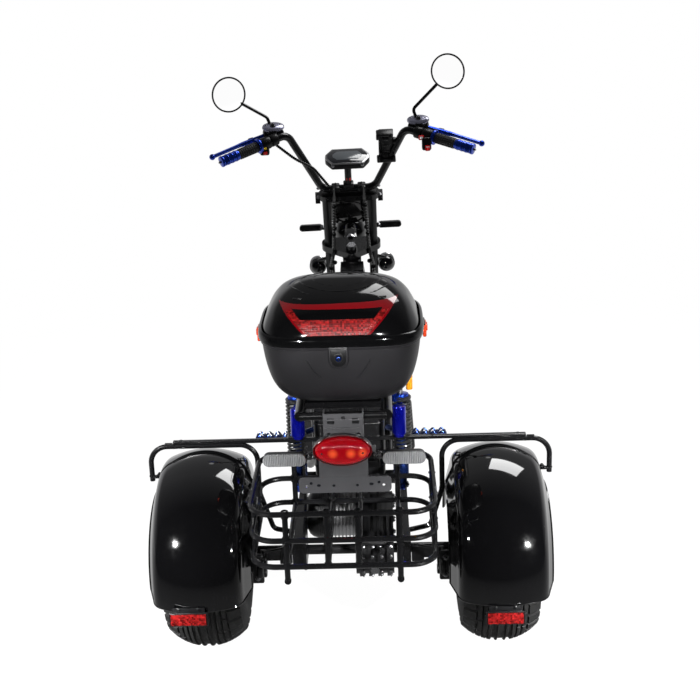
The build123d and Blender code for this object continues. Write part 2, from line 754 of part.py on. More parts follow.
nodes = {
    "head_tube": head_tube(),
    "frame_backbone": frame_backbone(),
    "frame_rails": frame_rails(),
    "footboard": footboard(),
    "battery_case": battery_case(),
    "seat_pan": seat_pan(),
    "seat_cushion": seat_cushion(),
    "swingarm": swingarm(),
    "axle_housing": axle_housing(),
    "gearbox": gearbox(),
    "motor": motor(),
    "shock_bodies": shock_bodies(),
    "shock_springs": shock_springs(),
    "rack_bar": rack_bar(),
    "fender_hoops": fender_hoops(),
    "fender_left": fender(-1),
    "fender_right": fender(1),
    "fender_reflectors": fender_reflectors(),
    "tail_bracket": tail_bracket(),
    "tail_light": tail_light(),
    "rear_signals": rear_signals(),
    "trunk_carrier": trunk_carrier(),
    "trunk_base": trunk_base(),
    "trunk_latches": trunk_latches(),
    "footpegs": footpegs(),
    "rear_calipers": rear_calipers(),
    "trunk_lid": trunk_lid(),
    "lid_reflector": lid_reflector(),
    "triple_clamps": triple_clamps(),
    "fork_legs": fork_legs(),
    "handlebar": handlebar(),
    "grips": grips(),
    "brake_levers": brake_levers(),
    "master_cylinders": master_cylinders(),
    "switchgear": switchgear(),
    "mirror_arms": mirror_arms(),
    "mirror_glass": mirror_glass(),
    "display": display(),
    "phone_holder": phone_holder(),
    "fork_plate": fork_plate(),
    "front_signals": front_signals(),
    "front_lamps": front_lamps(),
    "front_fender": front_fender(),
    "front_caliper": front_caliper(),
    "control_looms": control_looms(),
    "front_tyre": front_wheel_place(front_tyre()),
    "front_rim": front_wheel_place(front_rim()),
    "rear_tyre_left": wheel_at(rear_tyre(), -1),
    "rear_rim_left": wheel_at(rear_rim(), -1),
    "rear_tyre_right": wheel_at(rear_tyre(), 1),
    "rear_rim_right": wheel_at(rear_rim(), 1),
}
nodes.update(basket_walls())

# Where a piece is let into another, the first is cut to fit round the second
fitted = (
    ("shock_bodies", "axle_housing"),
    ("frame_rails", "frame_backbone"),
    ("frame_backbone", "head_tube"),
    ("footboard", "frame_backbone"),
    ("footpegs", "frame_rails"),
    ("tail_bracket", "frame_rails"),
    ("tail_light", "tail_bracket"),
    ("rear_signals", "tail_light"),
    ("fender_reflectors", "fender_left"),
    ("fender_reflectors", "fender_right"),
    ("fender_hoops", "fender_left"),
    ("fender_hoops", "fender_right"),
    ("fender_hoops", "swingarm"),
    ("master_cylinders", "brake_levers"),
    ("master_cylinders", "mirror_arms"),
    ("master_cylinders", "handlebar"),
    ("switchgear", "handlebar"),
    ("switchgear", "master_cylinders"),
    ("switchgear", "grips"),
    ("phone_holder", "handlebar"),
    ("display", "handlebar"),
    ("triple_clamps", "handlebar"),
    ("triple_clamps", "control_looms"),
    ("fork_plate", "fork_legs"),
    ("fork_plate", "triple_clamps"),
    ("front_lamps", "fork_legs"),
    ("front_lamps", "triple_clamps"),
    ("front_signals", "fork_legs"),
)
for piece, holder in fitted:
    nodes[piece] -= nodes[holder]

# The ground below the middle of the overall box becomes the origin
boxes = [shape.bounding_box() for shape in nodes.values()]
middle_y = (min(box.min.Y for box in boxes) + max(box.max.Y for box in boxes)) / 2
for name, shape in nodes.items():
    export_step(Pos(0, -middle_y, 0) * shape, f"parts/{name}.step")
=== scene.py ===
import json
import math

import bmesh
import bpy
from mathutils import Matrix, Vector


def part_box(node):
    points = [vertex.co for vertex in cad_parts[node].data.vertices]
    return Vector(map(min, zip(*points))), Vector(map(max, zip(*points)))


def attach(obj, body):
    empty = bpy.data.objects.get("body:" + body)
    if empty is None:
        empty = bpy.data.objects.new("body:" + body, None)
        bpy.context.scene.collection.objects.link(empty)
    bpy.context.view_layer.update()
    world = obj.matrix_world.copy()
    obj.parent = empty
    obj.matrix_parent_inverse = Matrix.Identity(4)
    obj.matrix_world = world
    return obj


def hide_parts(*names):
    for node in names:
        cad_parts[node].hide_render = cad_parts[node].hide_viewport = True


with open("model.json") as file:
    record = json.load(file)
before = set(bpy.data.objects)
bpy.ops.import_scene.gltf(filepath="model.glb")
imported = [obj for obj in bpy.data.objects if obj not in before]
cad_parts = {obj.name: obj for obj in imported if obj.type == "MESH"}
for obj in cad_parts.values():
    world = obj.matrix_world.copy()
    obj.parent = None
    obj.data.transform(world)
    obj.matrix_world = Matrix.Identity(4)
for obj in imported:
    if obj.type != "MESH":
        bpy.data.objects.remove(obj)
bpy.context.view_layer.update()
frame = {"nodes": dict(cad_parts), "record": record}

# Layout is in millimetres with the rear axle at y = 0
axleLow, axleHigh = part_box("rear_tyre_left")
axleY = (axleLow[1] + axleHigh[1]) / 2
toFrame = Matrix.Translation((0, axleY, 0)) @ Matrix.Scale(0.001, 4)

# The raked head tube, with the bars turned a little left of straight ahead
rake = math.radians(26)
restSteer = math.radians(2)
headPoint = Vector((0, 930, 830))
forkOffset = 35
legX = 67
frontRadius = 217
steerPlace = (Matrix.Translation(headPoint) @ Matrix.Rotation(rake, 4, "X")
              @ Matrix.Rotation(restSteer, 4, "Z"))
barPlace = steerPlace @ Matrix.Rotation(-rake, 4, "X") @ Matrix.Translation(-headPoint)
toBar = barPlace.inverted()
axleDrop = (headPoint.z + forkOffset * math.sin(rake) - frontRadius) / math.cos(rake)


# Camera first, then the stage

view = {"sensor": 36, "lens": 66.38, "place": (0.0896, -2.8036, 1.6737),
        "right": (0.9993136, 0.01655774, -0.03313866),
        "up": (0.02611207, 0.31969705, 0.94715994),
        "back": (0.02627716, -0.94737513, 0.31904525)}
camData = bpy.data.cameras.new("camera")
camData.sensor_width = view["sensor"]
camData.lens = view["lens"]
camera = bpy.data.objects.new("camera", camData)
bpy.context.scene.collection.objects.link(camera)
camera.matrix_world = (Matrix.Translation(Vector(view["place"]) + Vector((0, axleY, 0)))
                       @ Matrix((view["right"], view["up"], view["back"])).transposed().to_4x4())
bpy.context.scene.camera = camera
bpy.context.scene.view_settings.view_transform = "Standard"


def newNode(tree, kind, feeds=None, **values):
    # feeds names the inputs that other sockets drive, values what the rest are set to
    node = tree.nodes.new("ShaderNode" + kind)
    for key, value in values.items():
        if hasattr(node, key):
            setattr(node, key, value)
        else:
            node.inputs[key.replace("_", " ")].default_value = value
    for key, source in (feeds or {}).items():
        tree.links.new(source, node.inputs[key])
    return node


def mapRange(tree, source, low, high, toLow=0, toHigh=1, **more):
    return newNode(tree, "MapRange", {"Value": source}, From_Min=low, From_Max=high,
                   To_Min=toLow, To_Max=toHigh, **more).outputs[0]


def ramp(tree, source, stops):
    curve = newNode(tree, "ValToRGB", {"Fac": source})
    ends = curve.color_ramp.elements
    ends[0].position, ends[0].color = stops[0]
    ends[1].position, ends[1].color = stops[-1]
    for place, colour in stops[1:-1]:
        ends.new(place).color = colour
    return curve.outputs["Color"]


def mixed(tree, share, first, second):
    return newNode(tree, "MixShader", {0: share, 1: first, 2: second}).outputs[0]


def grey(level):
    return (level, level, level, 1)


stage = {"floor": 14, "near": -3.0, "far": 2.0, "seen": 0.975, "fadeFrom": 1.2, "fadeTo": 2.4,
         "paper": 0.8, "shade": 0.06, "fill": 0.42, "skyDark": (0.01, 0.01, 0.011, 1),
         "skyPale": (0.5, 0.5, 0.51, 1)}


def buildFloor():
    # White for the camera with a faint shadow, and a grey that grows paler ahead for what shines
    bm = bmesh.new()
    bmesh.ops.create_grid(bm, x_segments=1, y_segments=1, size=stage["floor"])
    mesh = bpy.data.meshes.new("floor")
    bm.to_mesh(mesh)
    bm.free()
    floor = bpy.data.objects.new("floor", mesh)
    bpy.context.scene.collection.objects.link(floor)
    mat = bpy.data.materials.new("floorWhite")
    mat.use_nodes = True
    tree = mat.node_tree
    tree.nodes.clear()
    ray = newNode(tree, "LightPath").outputs
    coords = newNode(tree, "TexCoord").outputs["Object"]
    ahead = newNode(tree, "SeparateXYZ", {0: coords}).outputs["Y"]
    ahead = mapRange(tree, ahead, stage["near"] + axleY, stage["far"] + axleY)
    pale = ramp(tree, ahead, [(0.25, grey(0.01)), (0.5, grey(0.12)), (0.8, grey(0.6))])
    white = newNode(tree, "Emission", {"Color": pale}).outputs[0]
    paper = newNode(tree, "BsdfDiffuse", Color=grey(stage["paper"])).outputs[0]
    shade = newNode(tree, "BsdfDiffuse", Color=grey(stage["shade"])).outputs[0]
    seen = newNode(tree, "Emission", Strength=stage["seen"]).outputs[0]
    lit = newNode(tree, "AddShader", {0: seen, 1: shade}).outputs[0]
    span = newNode(tree, "VectorMath", {0: coords}, operation="LENGTH").outputs["Value"]
    plain = newNode(tree, "Emission", Color=grey(1)).outputs[0]
    near = mixed(tree, mapRange(tree, span, stage["fadeFrom"], stage["fadeTo"]), lit, plain)
    whole = mixed(tree, ray["Is Camera Ray"], mixed(tree, ray["Is Glossy Ray"], paper, white), near)
    newNode(tree, "OutputMaterial", {"Surface": whole})
    mesh.materials.append(mat)


def buildSky():
    # White for the camera and through glass; what shines sees a dim studio with a pale far end
    world = bpy.data.worlds.new("studio")
    bpy.context.scene.world = world
    world.use_nodes = True
    tree = world.node_tree
    tree.nodes.clear()
    ray = newNode(tree, "LightPath").outputs
    direction = newNode(tree, "TexCoord").outputs["Generated"]
    axes = newNode(tree, "SeparateXYZ", {0: direction}).outputs
    height = mapRange(tree, axes["Z"], 0.22, 0.42, 1, 0.3)
    ahead = mapRange(tree, axes["Y"], -0.2, 0.5)
    pale = newNode(tree, "Math", {0: height, 1: ahead}, operation="MULTIPLY").outputs[0]
    sky = ramp(tree, pale, [(0, stage["skyDark"]), (1, stage["skyPale"])])
    shine = newNode(tree, "Background", {"Color": sky}).outputs[0]
    fill = newNode(tree, "Background", Strength=stage["fill"], Color=grey(1)).outputs[0]
    bright = newNode(tree, "Background", Strength=1.0, Color=grey(1)).outputs[0]
    direct = newNode(tree, "Math", {0: ray["Is Camera Ray"], 1: ray["Is Transmission Ray"]},
                     operation="MAXIMUM").outputs[0]
    whole = mixed(tree, direct, mixed(tree, ray["Is Glossy Ray"], fill, shine), bright)
    newNode(tree, "OutputWorld", {"Surface": whole})


def areaLight(name, place, target, power, size, sizeY=None, spread=180):
    data = bpy.data.lights.new(name, "AREA")
    data.spread = math.radians(spread)
    data.energy = power
    data.shape = "RECTANGLE" if sizeY else "DISK"
    data.size = size
    if sizeY:
        data.size_y = sizeY
    lamp = bpy.data.objects.new(name, data)
    bpy.context.scene.collection.objects.link(lamp)
    lamp.location = Vector(place) + Vector((0, axleY, 0))
    toward = Vector(target) - Vector(place)
    lamp.rotation_euler = toward.to_track_quat("-Z", "Y").to_euler()


buildFloor()
buildSky()
areaLight("lampLeft", (-2.03, -2.22, 1.86), (-0.62, -0.25, 0.3), 9, 0.13, spread=26)
areaLight("lampRight", (2.12, -2.39, 1.48), (0.62, -0.25, 0.3), 9, 0.13, spread=26)
areaLight("lampBelt", (-0.75, -3.0, 1.7), (-0.1, -0.3, 0.84), 0.35, 0.07, spread=9)
areaLight("lampBeltRight", (0.75, -3.0, 1.7), (0.1, -0.3, 0.84), 0.35, 0.07, spread=9)
areaLight("softboxTop", (0.94, 1.56, 2.9), (0.35, -0.07, 0.45), 30, 1.5, 1.0)
print("stage done")


# Materials: each has grain, colour drift and wear, all on object coordinates

texture = {"cloud": 9, "cloudDetail": 4.0, "grainDetail": 3.0, "low": 0.3, "high": 0.7,
           "relief": 0.0004, "coatRough": 0.03}


def addRelief(mat, height, strength, distance):
    nodes = mat.node_tree.nodes
    relief = newNode(mat.node_tree, "Bump", {"Height": height}, Strength=strength, Distance=distance)
    mat.node_tree.links.new(relief.outputs["Normal"], nodes["Principled BSDF"].inputs["Normal"])
    return mat


def objectCoords(mat):
    return mat.node_tree.nodes["Texture Coordinate"].outputs["Object"]


def surface(name, colour, rough=0.4, metal=0.0, grain=180, bump=0.12, drift=0.12, coat=0.0,
            stretch=(1, 1, 1), roughDrift=0.12, specular=0.5):
    mat = bpy.data.materials.new(name)
    mat.use_nodes = True
    tree = mat.node_tree
    shader = tree.nodes["Principled BSDF"].inputs
    coords = newNode(tree, "TexCoord").outputs["Object"]
    spread = newNode(tree, "Mapping", {"Vector": coords}, Scale=stretch).outputs[0]
    cloud, fine = [newNode(tree, "TexNoise", {"Vector": spread}, Scale=float(size),
                           Detail=detail).outputs["Fac"]
                   for size, detail in ((texture["cloud"], texture["cloudDetail"]),
                                        (grain, texture["grainDetail"]))]
    dark, pale = [tuple(min(1, c * change) for c in colour) + (1,) for change in (1 - drift, 1 + drift)]
    tint = ramp(tree, cloud, [(texture["low"], dark), (texture["high"], pale)])
    tree.links.new(tint, shader["Base Color"])
    wear = mapRange(tree, fine, texture["low"], texture["high"],
                    max(0.02, rough - roughDrift * rough), min(1, rough + roughDrift * rough))
    tree.links.new(wear, shader["Roughness"])
    shader["Metallic"].default_value = metal
    shader["Specular IOR Level"].default_value = specular
    if coat:
        shader["Coat Weight"].default_value = coat
        shader["Coat Roughness"].default_value = texture["coatRough"]
    return addRelief(mat, fine, bump, texture["relief"])


def cellRelief(mat, scale, strength, ribs=False, distance=0.001):
    kind, output = ("TexWave", "Fac") if ribs else ("TexVoronoi", "Distance")
    cells = newNode(mat.node_tree, kind, {"Vector": objectCoords(mat)}, Scale=float(scale))
    return addRelief(mat, cells.outputs[output], strength, distance)


def addGlow(mat, strength, colour):
    shader = mat.node_tree.nodes["Principled BSDF"].inputs
    shader["Emission Color"].default_value = colour
    if isinstance(strength, float):
        shader["Emission Strength"].default_value = strength
    else:
        mat.node_tree.links.new(strength, shader["Emission Strength"])


def paintedLensHighlights(mat, spots, near, far, glow):
    # Painted highlights inside the lens: a warm glow that fades out round each point
    tree = mat.node_tree
    level = None
    for spot in spots:
        span = newNode(tree, "VectorMath", {0: objectCoords(mat)}, operation="DISTANCE")
        span.inputs[1].default_value = toFrame @ Vector(spot)
        fade = mapRange(tree, span.outputs["Value"], near, far, glow, 0, interpolation_type="SMOOTHSTEP")
        level = fade if level is None else newNode(tree, "Math", {0: level, 1: fade},
                                                   operation="MAXIMUM").outputs[0]
    addGlow(mat, level, (1.0, 0.16, 0.04, 1))


def prismRed(name, scale):
    mat = surface(name, (0.4, 0.004, 0.004), 0.3, specular=0.15)
    tree = mat.node_tree
    cells = newNode(tree, "TexVoronoi", {"Vector": objectCoords(mat)}, distance="CHEBYCHEV",
                    Scale=float(scale), Randomness=0.0).outputs
    tint = ramp(tree, cells["Color"], [(0.2, (0.05, 0.001, 0.001, 1)), (0.9, (0.26, 0.008, 0.008, 1))])
    tree.links.new(tint, tree.nodes["Principled BSDF"].inputs["Base Color"])
    return addRelief(mat, cells["Distance"], 0.6, 0.0012)


paint = surface("framePaint", (0.0045, 0.0045, 0.005), 0.24, grain=260, coat=0.5, specular=0.35)
satin = surface("satinBlack", (0.006, 0.006, 0.0065), 0.34, specular=0.35, grain=420, bump=0.15)
lidGloss = surface("lidGloss", (0.0022, 0.0022, 0.0024), 0.07, grain=55, bump=0.012,
                   roughDrift=0.4, specular=0.3)
gloss = surface("glossBlack", (0.0015, 0.0015, 0.0017), 0.06, grain=55, bump=0.012, coat=1.0,
                roughDrift=0.4)
bowl = surface("matteGrey", (0.011, 0.0105, 0.012), 0.4, grain=900, bump=0.55, drift=0.2)
plastic = surface("blackPlastic", (0.005, 0.005, 0.0055), 0.32, specular=0.4, grain=700, bump=0.25)
sheetGrey = surface("bracketGrey", (0.1, 0.1, 0.106), 0.38, metal=0.2, grain=500, bump=0.2)
tyreRubber = surface("tyreRubber", (0.008, 0.008, 0.008), 0.6, grain=520, bump=0.5, drift=0.3, specular=0.25)
rimBlack = surface("rimBlack", (0.03, 0.03, 0.032), 0.3, metal=0.7, grain=300, bump=0.1)
leather = surface("seatLeather", (0.015, 0.015, 0.016), 0.45)
cellRelief(leather, 420, 0.35, distance=0.0006)
gripRubber = surface("gripRubber", (0.016, 0.016, 0.017), 0.55, grain=800, bump=0.4)
blue = surface("blueAnodised", (0.012, 0.06, 0.55), 0.22, metal=0.85, grain=90, stretch=(6, 1, 6),
               coat=0.5)
blueDark = surface("blueDark", (0.012, 0.03, 0.14), 0.25, metal=0.85, grain=120, bump=0.05, coat=0.4)
blueGloss = surface("blueGloss", (0.003, 0.006, 0.36), 0.08, metal=0.7, grain=120, bump=0.03, coat=1.0)
alloy = surface("brushedAlloy", (0.5, 0.5, 0.51), 0.3, metal=1.0, grain=150, bump=0.15, stretch=(1, 1, 9))
chrome = surface("chrome", (0.75, 0.75, 0.77), 0.1, metal=1.0, grain=60, bump=0.02)
springBlack = surface("springBlack", (0.02, 0.02, 0.02), 0.3, grain=350, bump=0.15, coat=0.3)
mirror = surface("mirrorPaintedReflection", (0.5, 0.51, 0.52), 0.03, metal=1.0, grain=30, bump=0.004, drift=0.02)
# The mirror's face glows white: a painted reflection of the white backdrop
addGlow(mirror, 0.97, (1, 1, 1, 1))
redLens = surface("redLens", (0.5, 0.002, 0.008), 0.1, coat=0.5, drift=0.3)
cellRelief(redLens, 60, 0.12, ribs=True)
# Painted highlights: three warm glowing spots in the tail lamp's lens
paintedLensHighlights(redLens, [(-23, -320, 609), (15, -321, 609), (40, -318, 608)], 0.001, 0.014, 0.55)
redSmooth = surface("redSmooth", (0.13, 0.001, 0.003), 0.1, grain=40, bump=0.02, coat=0.8)
redCells = prismRed("redPrisms", 260)
ribbed = surface("ribbedLens", (0.6, 0.61, 0.62), 0.16, metal=0.4, coat=1.0)
cellRelief(ribbed, 85, 0.8, ribs=True, distance=0.004)
clearGlass = surface("clearLens", (0.75, 0.77, 0.8), 0.06, grain=30, bump=0.01, coat=1.0, metal=0.5)
orange = surface("orangePlastic", (0.75, 0.06, 0.012), 0.3, grain=400, bump=0.15, coat=0.3)
amber = surface("amberPlastic", (0.8, 0.3, 0.01), 0.3, grain=300, bump=0.1, coat=0.4)
yellow = surface("yellowPlastic", (0.8, 0.55, 0.02), 0.35, grain=300, bump=0.1)
redPlastic = surface("redPlastic", (0.6, 0.01, 0.01), 0.3, grain=300, bump=0.1)
white = surface("whiteBand", (0.75, 0.76, 0.78), 0.3, grain=300, bump=0.05)
lavender = surface("reservoirCap", (0.32, 0.32, 0.42), 0.22, metal=0.6, grain=200, bump=0.05, coat=0.4)
screen = surface("screenGlass", (0.01, 0.011, 0.014), 0.05, grain=20, bump=0.004, coat=1.0)
screenGrey = surface("screenGrey", (0.1, 0.11, 0.12), 0.2, grain=200, bump=0.02, coat=0.6)
bolt = surface("boltSteel", (0.3, 0.3, 0.31), 0.28, metal=1.0, grain=200, bump=0.1)

slotSurface = {
    "frame_paint": paint, "satin_black": satin, "gloss_black": gloss, "matte_grey": bowl,
    "black_plastic": plastic, "bracket_grey": sheetGrey, "tyre": tyreRubber, "rim": rimBlack,
    "seat_cover": leather, "grip_rubber": gripRubber, "blue_anodised": blue, "raw_alloy": alloy,
    "spring_black": springBlack, "mirror_face": mirror, "red_lens": redLens,
    "red_reflector": redCells, "clear_lens": ribbed, "orange_plastic": orange,
}
for subpart in frame["record"]["subparts"]:
    node = frame["nodes"][subpart["node"]]
    node.data.materials.clear()
    node.data.materials.append(slotSurface[subpart["material_slot"]])
print("materials done")


# Shapes, each as its own small mesh in millimetres

def put(target, part, mat=0, place=None):
    for face in part.faces:
        face.material_index = mat
    if place is not None:
        part.transform(place)
    mesh = bpy.data.meshes.new("part")
    part.to_mesh(mesh)
    part.free()
    target.from_mesh(mesh)
    bpy.data.meshes.remove(mesh)


def at(x=0, y=0, z=0, turnX=0, turnY=0, turnZ=0):
    place = Matrix.Translation((x, y, z))
    for turn, axis in ((turnZ, "Z"), (turnY, "Y"), (turnX, "X")):
        place = place @ Matrix.Rotation(math.radians(turn), 4, axis)
    return place


def softEdges(bm, width, segments=2, angle=30):
    limit = math.radians(angle)
    sharp = [e for e in bm.edges if len(e.link_faces) == 2 and e.calc_face_angle(0) > limit]
    if width and sharp:
        bmesh.ops.bevel(bm, geom=sharp, offset=width, segments=segments, profile=0.5,
                        affect="EDGES", clamp_overlap=True, material=-1)


def box(wide, deep, tall, edge=1.5, segments=2):
    bm = bmesh.new()
    bmesh.ops.create_cube(bm, size=1)
    bm.transform(Matrix.Diagonal((wide, deep, tall, 1)))
    softEdges(bm, edge, segments)
    return bm


def disc(radius, tall, edge=1.0, sides=32):
    bm = bmesh.new()
    bmesh.ops.create_cone(bm, cap_ends=True, segments=sides, radius1=radius, radius2=radius, depth=tall)
    softEdges(bm, edge, angle=40)
    return bm


def aim(start, end):
    start, end = Vector(start), Vector(end)
    turn = (end - start).to_track_quat("Z", "Y").to_matrix().to_4x4()
    return Matrix.Translation((start + end) / 2) @ turn


def rod(start, end, radius, edge=0.8, sides=20):
    bm = disc(radius, (Vector(end) - Vector(start)).length, edge, sides)
    bm.transform(aim(start, end))
    return bm


def ball(radius):
    bm = bmesh.new()
    bmesh.ops.create_uvsphere(bm, u_segments=20, v_segments=10, radius=radius)
    return bm


def spun(points, axis, steps, near=0.01):
    bm = bmesh.new()
    ring = [bm.verts.new(point) for point in points]
    edges = [bm.edges.new(pair) for pair in zip(ring, ring[1:])]
    bmesh.ops.spin(bm, geom=ring + edges, cent=(0, 0, 0), axis=axis, dvec=(0, 0, 0),
                   angle=math.tau, steps=steps, use_merge=True, use_duplicate=False)
    bmesh.ops.remove_doubles(bm, verts=bm.verts, dist=near)
    return bm


def lathe(profile, steps=48):
    return spun([(r, 0, z) for r, z in profile], (0, 0, 1), steps)


def thicken(bm, faces, depth, keep=False):
    grown = bmesh.ops.extrude_face_region(bm, geom=faces, use_keep_orig=keep)["geom"]
    bmesh.ops.translate(bm, verts=[g for g in grown if isinstance(g, bmesh.types.BMVert)], vec=(0, 0, depth))
    bmesh.ops.recalc_face_normals(bm, faces=bm.faces)


def outlinePrism(points, depth, edge=0.8, segments=2):
    bm = bmesh.new()
    thicken(bm, [bm.faces.new([bm.verts.new((x, y, -depth / 2)) for x, y in points])], depth)
    softEdges(bm, edge, segments)
    return bm


def roundedOutline(wide, tall, radius, steps=6):
    points = []
    for cx, cy, start in ((1, 1, 0), (-1, 1, 90), (-1, -1, 180), (1, -1, 270)):
        for k in range(steps + 1):
            a = math.radians(start + 90 * k / steps)
            points.append((cx * (wide / 2 - radius) + radius * math.cos(a),
                           cy * (tall / 2 - radius) + radius * math.sin(a)))
    return points


def roundedPlate(wide, tall, radius, depth, edge=0.8, segments=2):
    return outlinePrism(roundedOutline(wide, tall, radius), depth, edge, segments)


def ovalOutline(wide, tall, steps=40):
    return [(wide / 2 * math.cos(math.tau * k / steps), tall / 2 * math.sin(math.tau * k / steps))
            for k in range(steps)]


def scaled(outline, across, down):
    return [(x * across, y * down) for x, y in outline]


def moved(outline, across, down):
    return [(x + across, y + down) for x, y in outline]


def sheetWithHoles(outline, holes, depth):
    bm = bmesh.new()
    edges = []
    for loop in [outline] + holes:
        verts = [bm.verts.new((x, y, -depth / 2)) for x, y in loop]
        edges += [bm.edges.new(pair) for pair in zip(verts, verts[1:] + verts[:1])]
    filled = bmesh.ops.triangle_fill(bm, edges=edges, use_beauty=True, use_dissolve=False)
    thicken(bm, [g for g in filled["geom"] if isinstance(g, bmesh.types.BMFace)], depth, keep=True)
    softEdges(bm, 0.4, 1, 50)
    return bm


def filletPath(points, bends, arcSteps=8):
    corners = [Vector(p) for p in points]
    path = [corners[0]]
    for index in range(1, len(corners) - 1):
        here = corners[index]
        back = (corners[index - 1] - here).normalized()
        on = (corners[index + 1] - here).normalized()
        turn = math.pi - back.angle(on)
        radius = bends[index - 1] if index <= len(bends) else 0
        if turn < 0.02 or not radius:
            path.append(here)
            continue
        reach = radius * math.tan(turn / 2)
        centre = here + (back + on).normalized() * radius / math.cos(turn / 2)
        first, last = here + back * reach - centre, here + on * reach - centre
        for k in range(arcSteps + 1):
            share = k / arcSteps
            swung = first * math.sin((1 - share) * turn) + last * math.sin(share * turn)
            path.append(centre + swung / math.sin(turn))
    path.append(corners[-1])
    return path


def tubeAlong(path, radius, closed=False, sides=12, radii=None):
    curve = bpy.data.curves.new("path", "CURVE")
    curve.dimensions = "3D"
    curve.bevel_depth = radius
    curve.bevel_resolution = max(0, sides // 4 - 1)
    curve.use_fill_caps = True
    spline = curve.splines.new("POLY")
    spline.points.add(len(path) - 1)
    for index, (point, place) in enumerate(zip(spline.points, path)):
        point.co = (*place, 1)
        if radii:
            point.radius = radii[index]
    spline.use_cyclic_u = closed
    holder = bpy.data.objects.new("path", curve)
    mesh = bpy.data.meshes.new_from_object(holder)
    bm = bmesh.new()
    bm.from_mesh(mesh)
    bpy.data.objects.remove(holder)
    bpy.data.curves.remove(curve)
    bpy.data.meshes.remove(mesh)
    return bm


def tube(points, radius, bends=(), sides=12, arcSteps=8):
    return tubeAlong(filletPath(points, bends, arcSteps), radius, sides=sides)


def coil(start, end, radius, wire, turns, perTurn, sides):
    # The first and last 1.2 turns lie flat
    path = []
    place = aim(start, end)
    length = (Vector(end) - Vector(start)).length - 2 * wire
    flat = 1.2 / turns
    for k in range(turns * perTurn + 1):
        share = min(1, max(0, (k / (turns * perTurn) - flat) / (1 - 2 * flat)))
        a = math.tau * k / perTurn
        path.append(place @ Vector((radius * math.cos(a), radius * math.sin(a), (share - 0.5) * length)))
    return tubeAlong(path, wire, sides=sides)


def hexBolt(radius, tall):
    bm = bmesh.new()
    put(bm, disc(radius, tall, 0.5, 6), 0, at(z=tall / 2 + 1))
    put(bm, disc(radius * 1.45, 1.4, 0.4, 24), 0, at(z=0.7))
    put(bm, disc(radius * 0.5, tall + 3, 0.4, 16), 0, at(z=(tall + 3) / 2))
    return bm


def slottedScrew(radius, tall):
    bm = bmesh.new()
    put(bm, lathe([(0, tall), (radius * 0.6, tall), (radius, tall * 0.4), (radius, 0), (0, 0)], 24))
    put(bm, box(radius * 2.2, 1.2, 1.4, 0.2), 0, at(z=tall))
    return bm


def ringLoft(rings, capEnds=True):
    bm = bmesh.new()
    loops = [[bm.verts.new(p) for p in ring] for ring in rings]
    for low, high in zip(loops, loops[1:]):
        for k in range(len(low)):
            bm.faces.new((low[k - 1], low[k], high[k], high[k - 1]))
    if capEnds:
        bm.faces.new(loops[0])
        bm.faces.new(loops[-1])
    bmesh.ops.recalc_face_normals(bm, faces=bm.faces)
    return bm


pieceFaces = {}


def piece(bm, name, body, mats, replaces=(), place=None, angle=34):
    if place is not None:
        bm.transform(place)
    bm.transform(toFrame)
    bmesh.ops.recalc_face_normals(bm, faces=bm.faces)
    limit = math.radians(angle)
    for edge in bm.edges:
        edge.smooth = edge.calc_face_angle(0) < limit
    for face in bm.faces:
        face.smooth = True
    mesh = bpy.data.meshes.new(name)
    bm.to_mesh(mesh)
    bm.free()
    obj = bpy.data.objects.new(name, mesh)
    bpy.context.scene.collection.objects.link(obj)
    for mat in mats:
        mesh.materials.append(mat)
    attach(obj, body)
    if replaces:
        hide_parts(*replaces)
    pieceFaces[name] = sum(len(p.vertices) - 2 for p in mesh.polygons)


# Rear wheels

# Widths and radii in mm; a row of blocks is its edges from the middle, its pitch and its gap in steps
rearWheel = {"x": 346, "radius": 223, "half": 94, "crown": 120, "bead": 103, "beadHalf": 80, "steps": 264,
             "cuts": (3, 8, 11, 19, 22, 30, 33, 42, 45, 55, 58, 70, 86), "depth": 5, "slant": 0.16,
             "blocks": ((0, 3, 12, 0), (8, 11, 12, 0), (22, 30, 12, 0), (33, 42, 22, 1), (45, 55, 11, 1),
                        (58, 86, 8, 2))}


def tyreProfile(size):
    top, crown, half, bead = size["radius"] - size["depth"], size["crown"], size["half"], size["bead"]
    xs = [-c for c in reversed(size["cuts"])] + list(size["cuts"])
    crownPoints = [(x, top - crown + math.sqrt(max(1, crown ** 2 - x ** 2))) for x in xs]
    edgeX, edgeR = crownPoints[-1]
    side = []
    for share, out in ((0.16, 0.45), (0.34, 0.8), (0.55, 1.0), (0.8, 0.86)):
        side.append((edgeX + (half - edgeX) * out, edgeR + (bead + 12 - edgeR) * share))
    side += [(size["beadHalf"] + 2, bead + 13), (size["beadHalf"], bead + 6), (size["beadHalf"], bead)]
    left = [(-x, r) for x, r in reversed(side)]
    return left + crownPoints + side


def buildTyre(size, name, body, node, place):
    # The carcass is spun, then the faces of the tread blocks are raised and the rows twisted
    bm = spun([(x, 0, r) for x, r in tyreProfile(size)], (1, 0, 0), size["steps"], 0.02)
    step = math.tau / size["steps"]
    chosen = []
    for face in bm.faces:
        middle = face.calc_center_median()
        radial = math.hypot(middle.y, middle.z)
        if radial < size["radius"] - size["crown"] * 0.45:
            continue
        index = int(round((math.atan2(middle.y, middle.z) % math.tau) / step - 0.5))
        for low, high, period, gap in size["blocks"]:
            if low < abs(middle.x) < high:
                shift = 0 if middle.x > 0 else period // 2
                if (index + shift) % period >= gap:
                    chosen.append(face)
                break
    bmesh.ops.recalc_face_normals(bm, faces=bm.faces)
    bmesh.ops.inset_region(bm, faces=chosen, thickness=0.7, depth=size["depth"], use_even_offset=True)
    for vert in bm.verts:
        radial = math.hypot(vert.co.y, vert.co.z)
        if radial > size["radius"] - size["crown"] * 0.5:
            turn = size["slant"] * abs(vert.co.x) / size["half"]
            vert.co = Matrix.Rotation(turn, 4, "X") @ vert.co
    piece(bm, name, body, [tyreRubber], [node], place, 38)


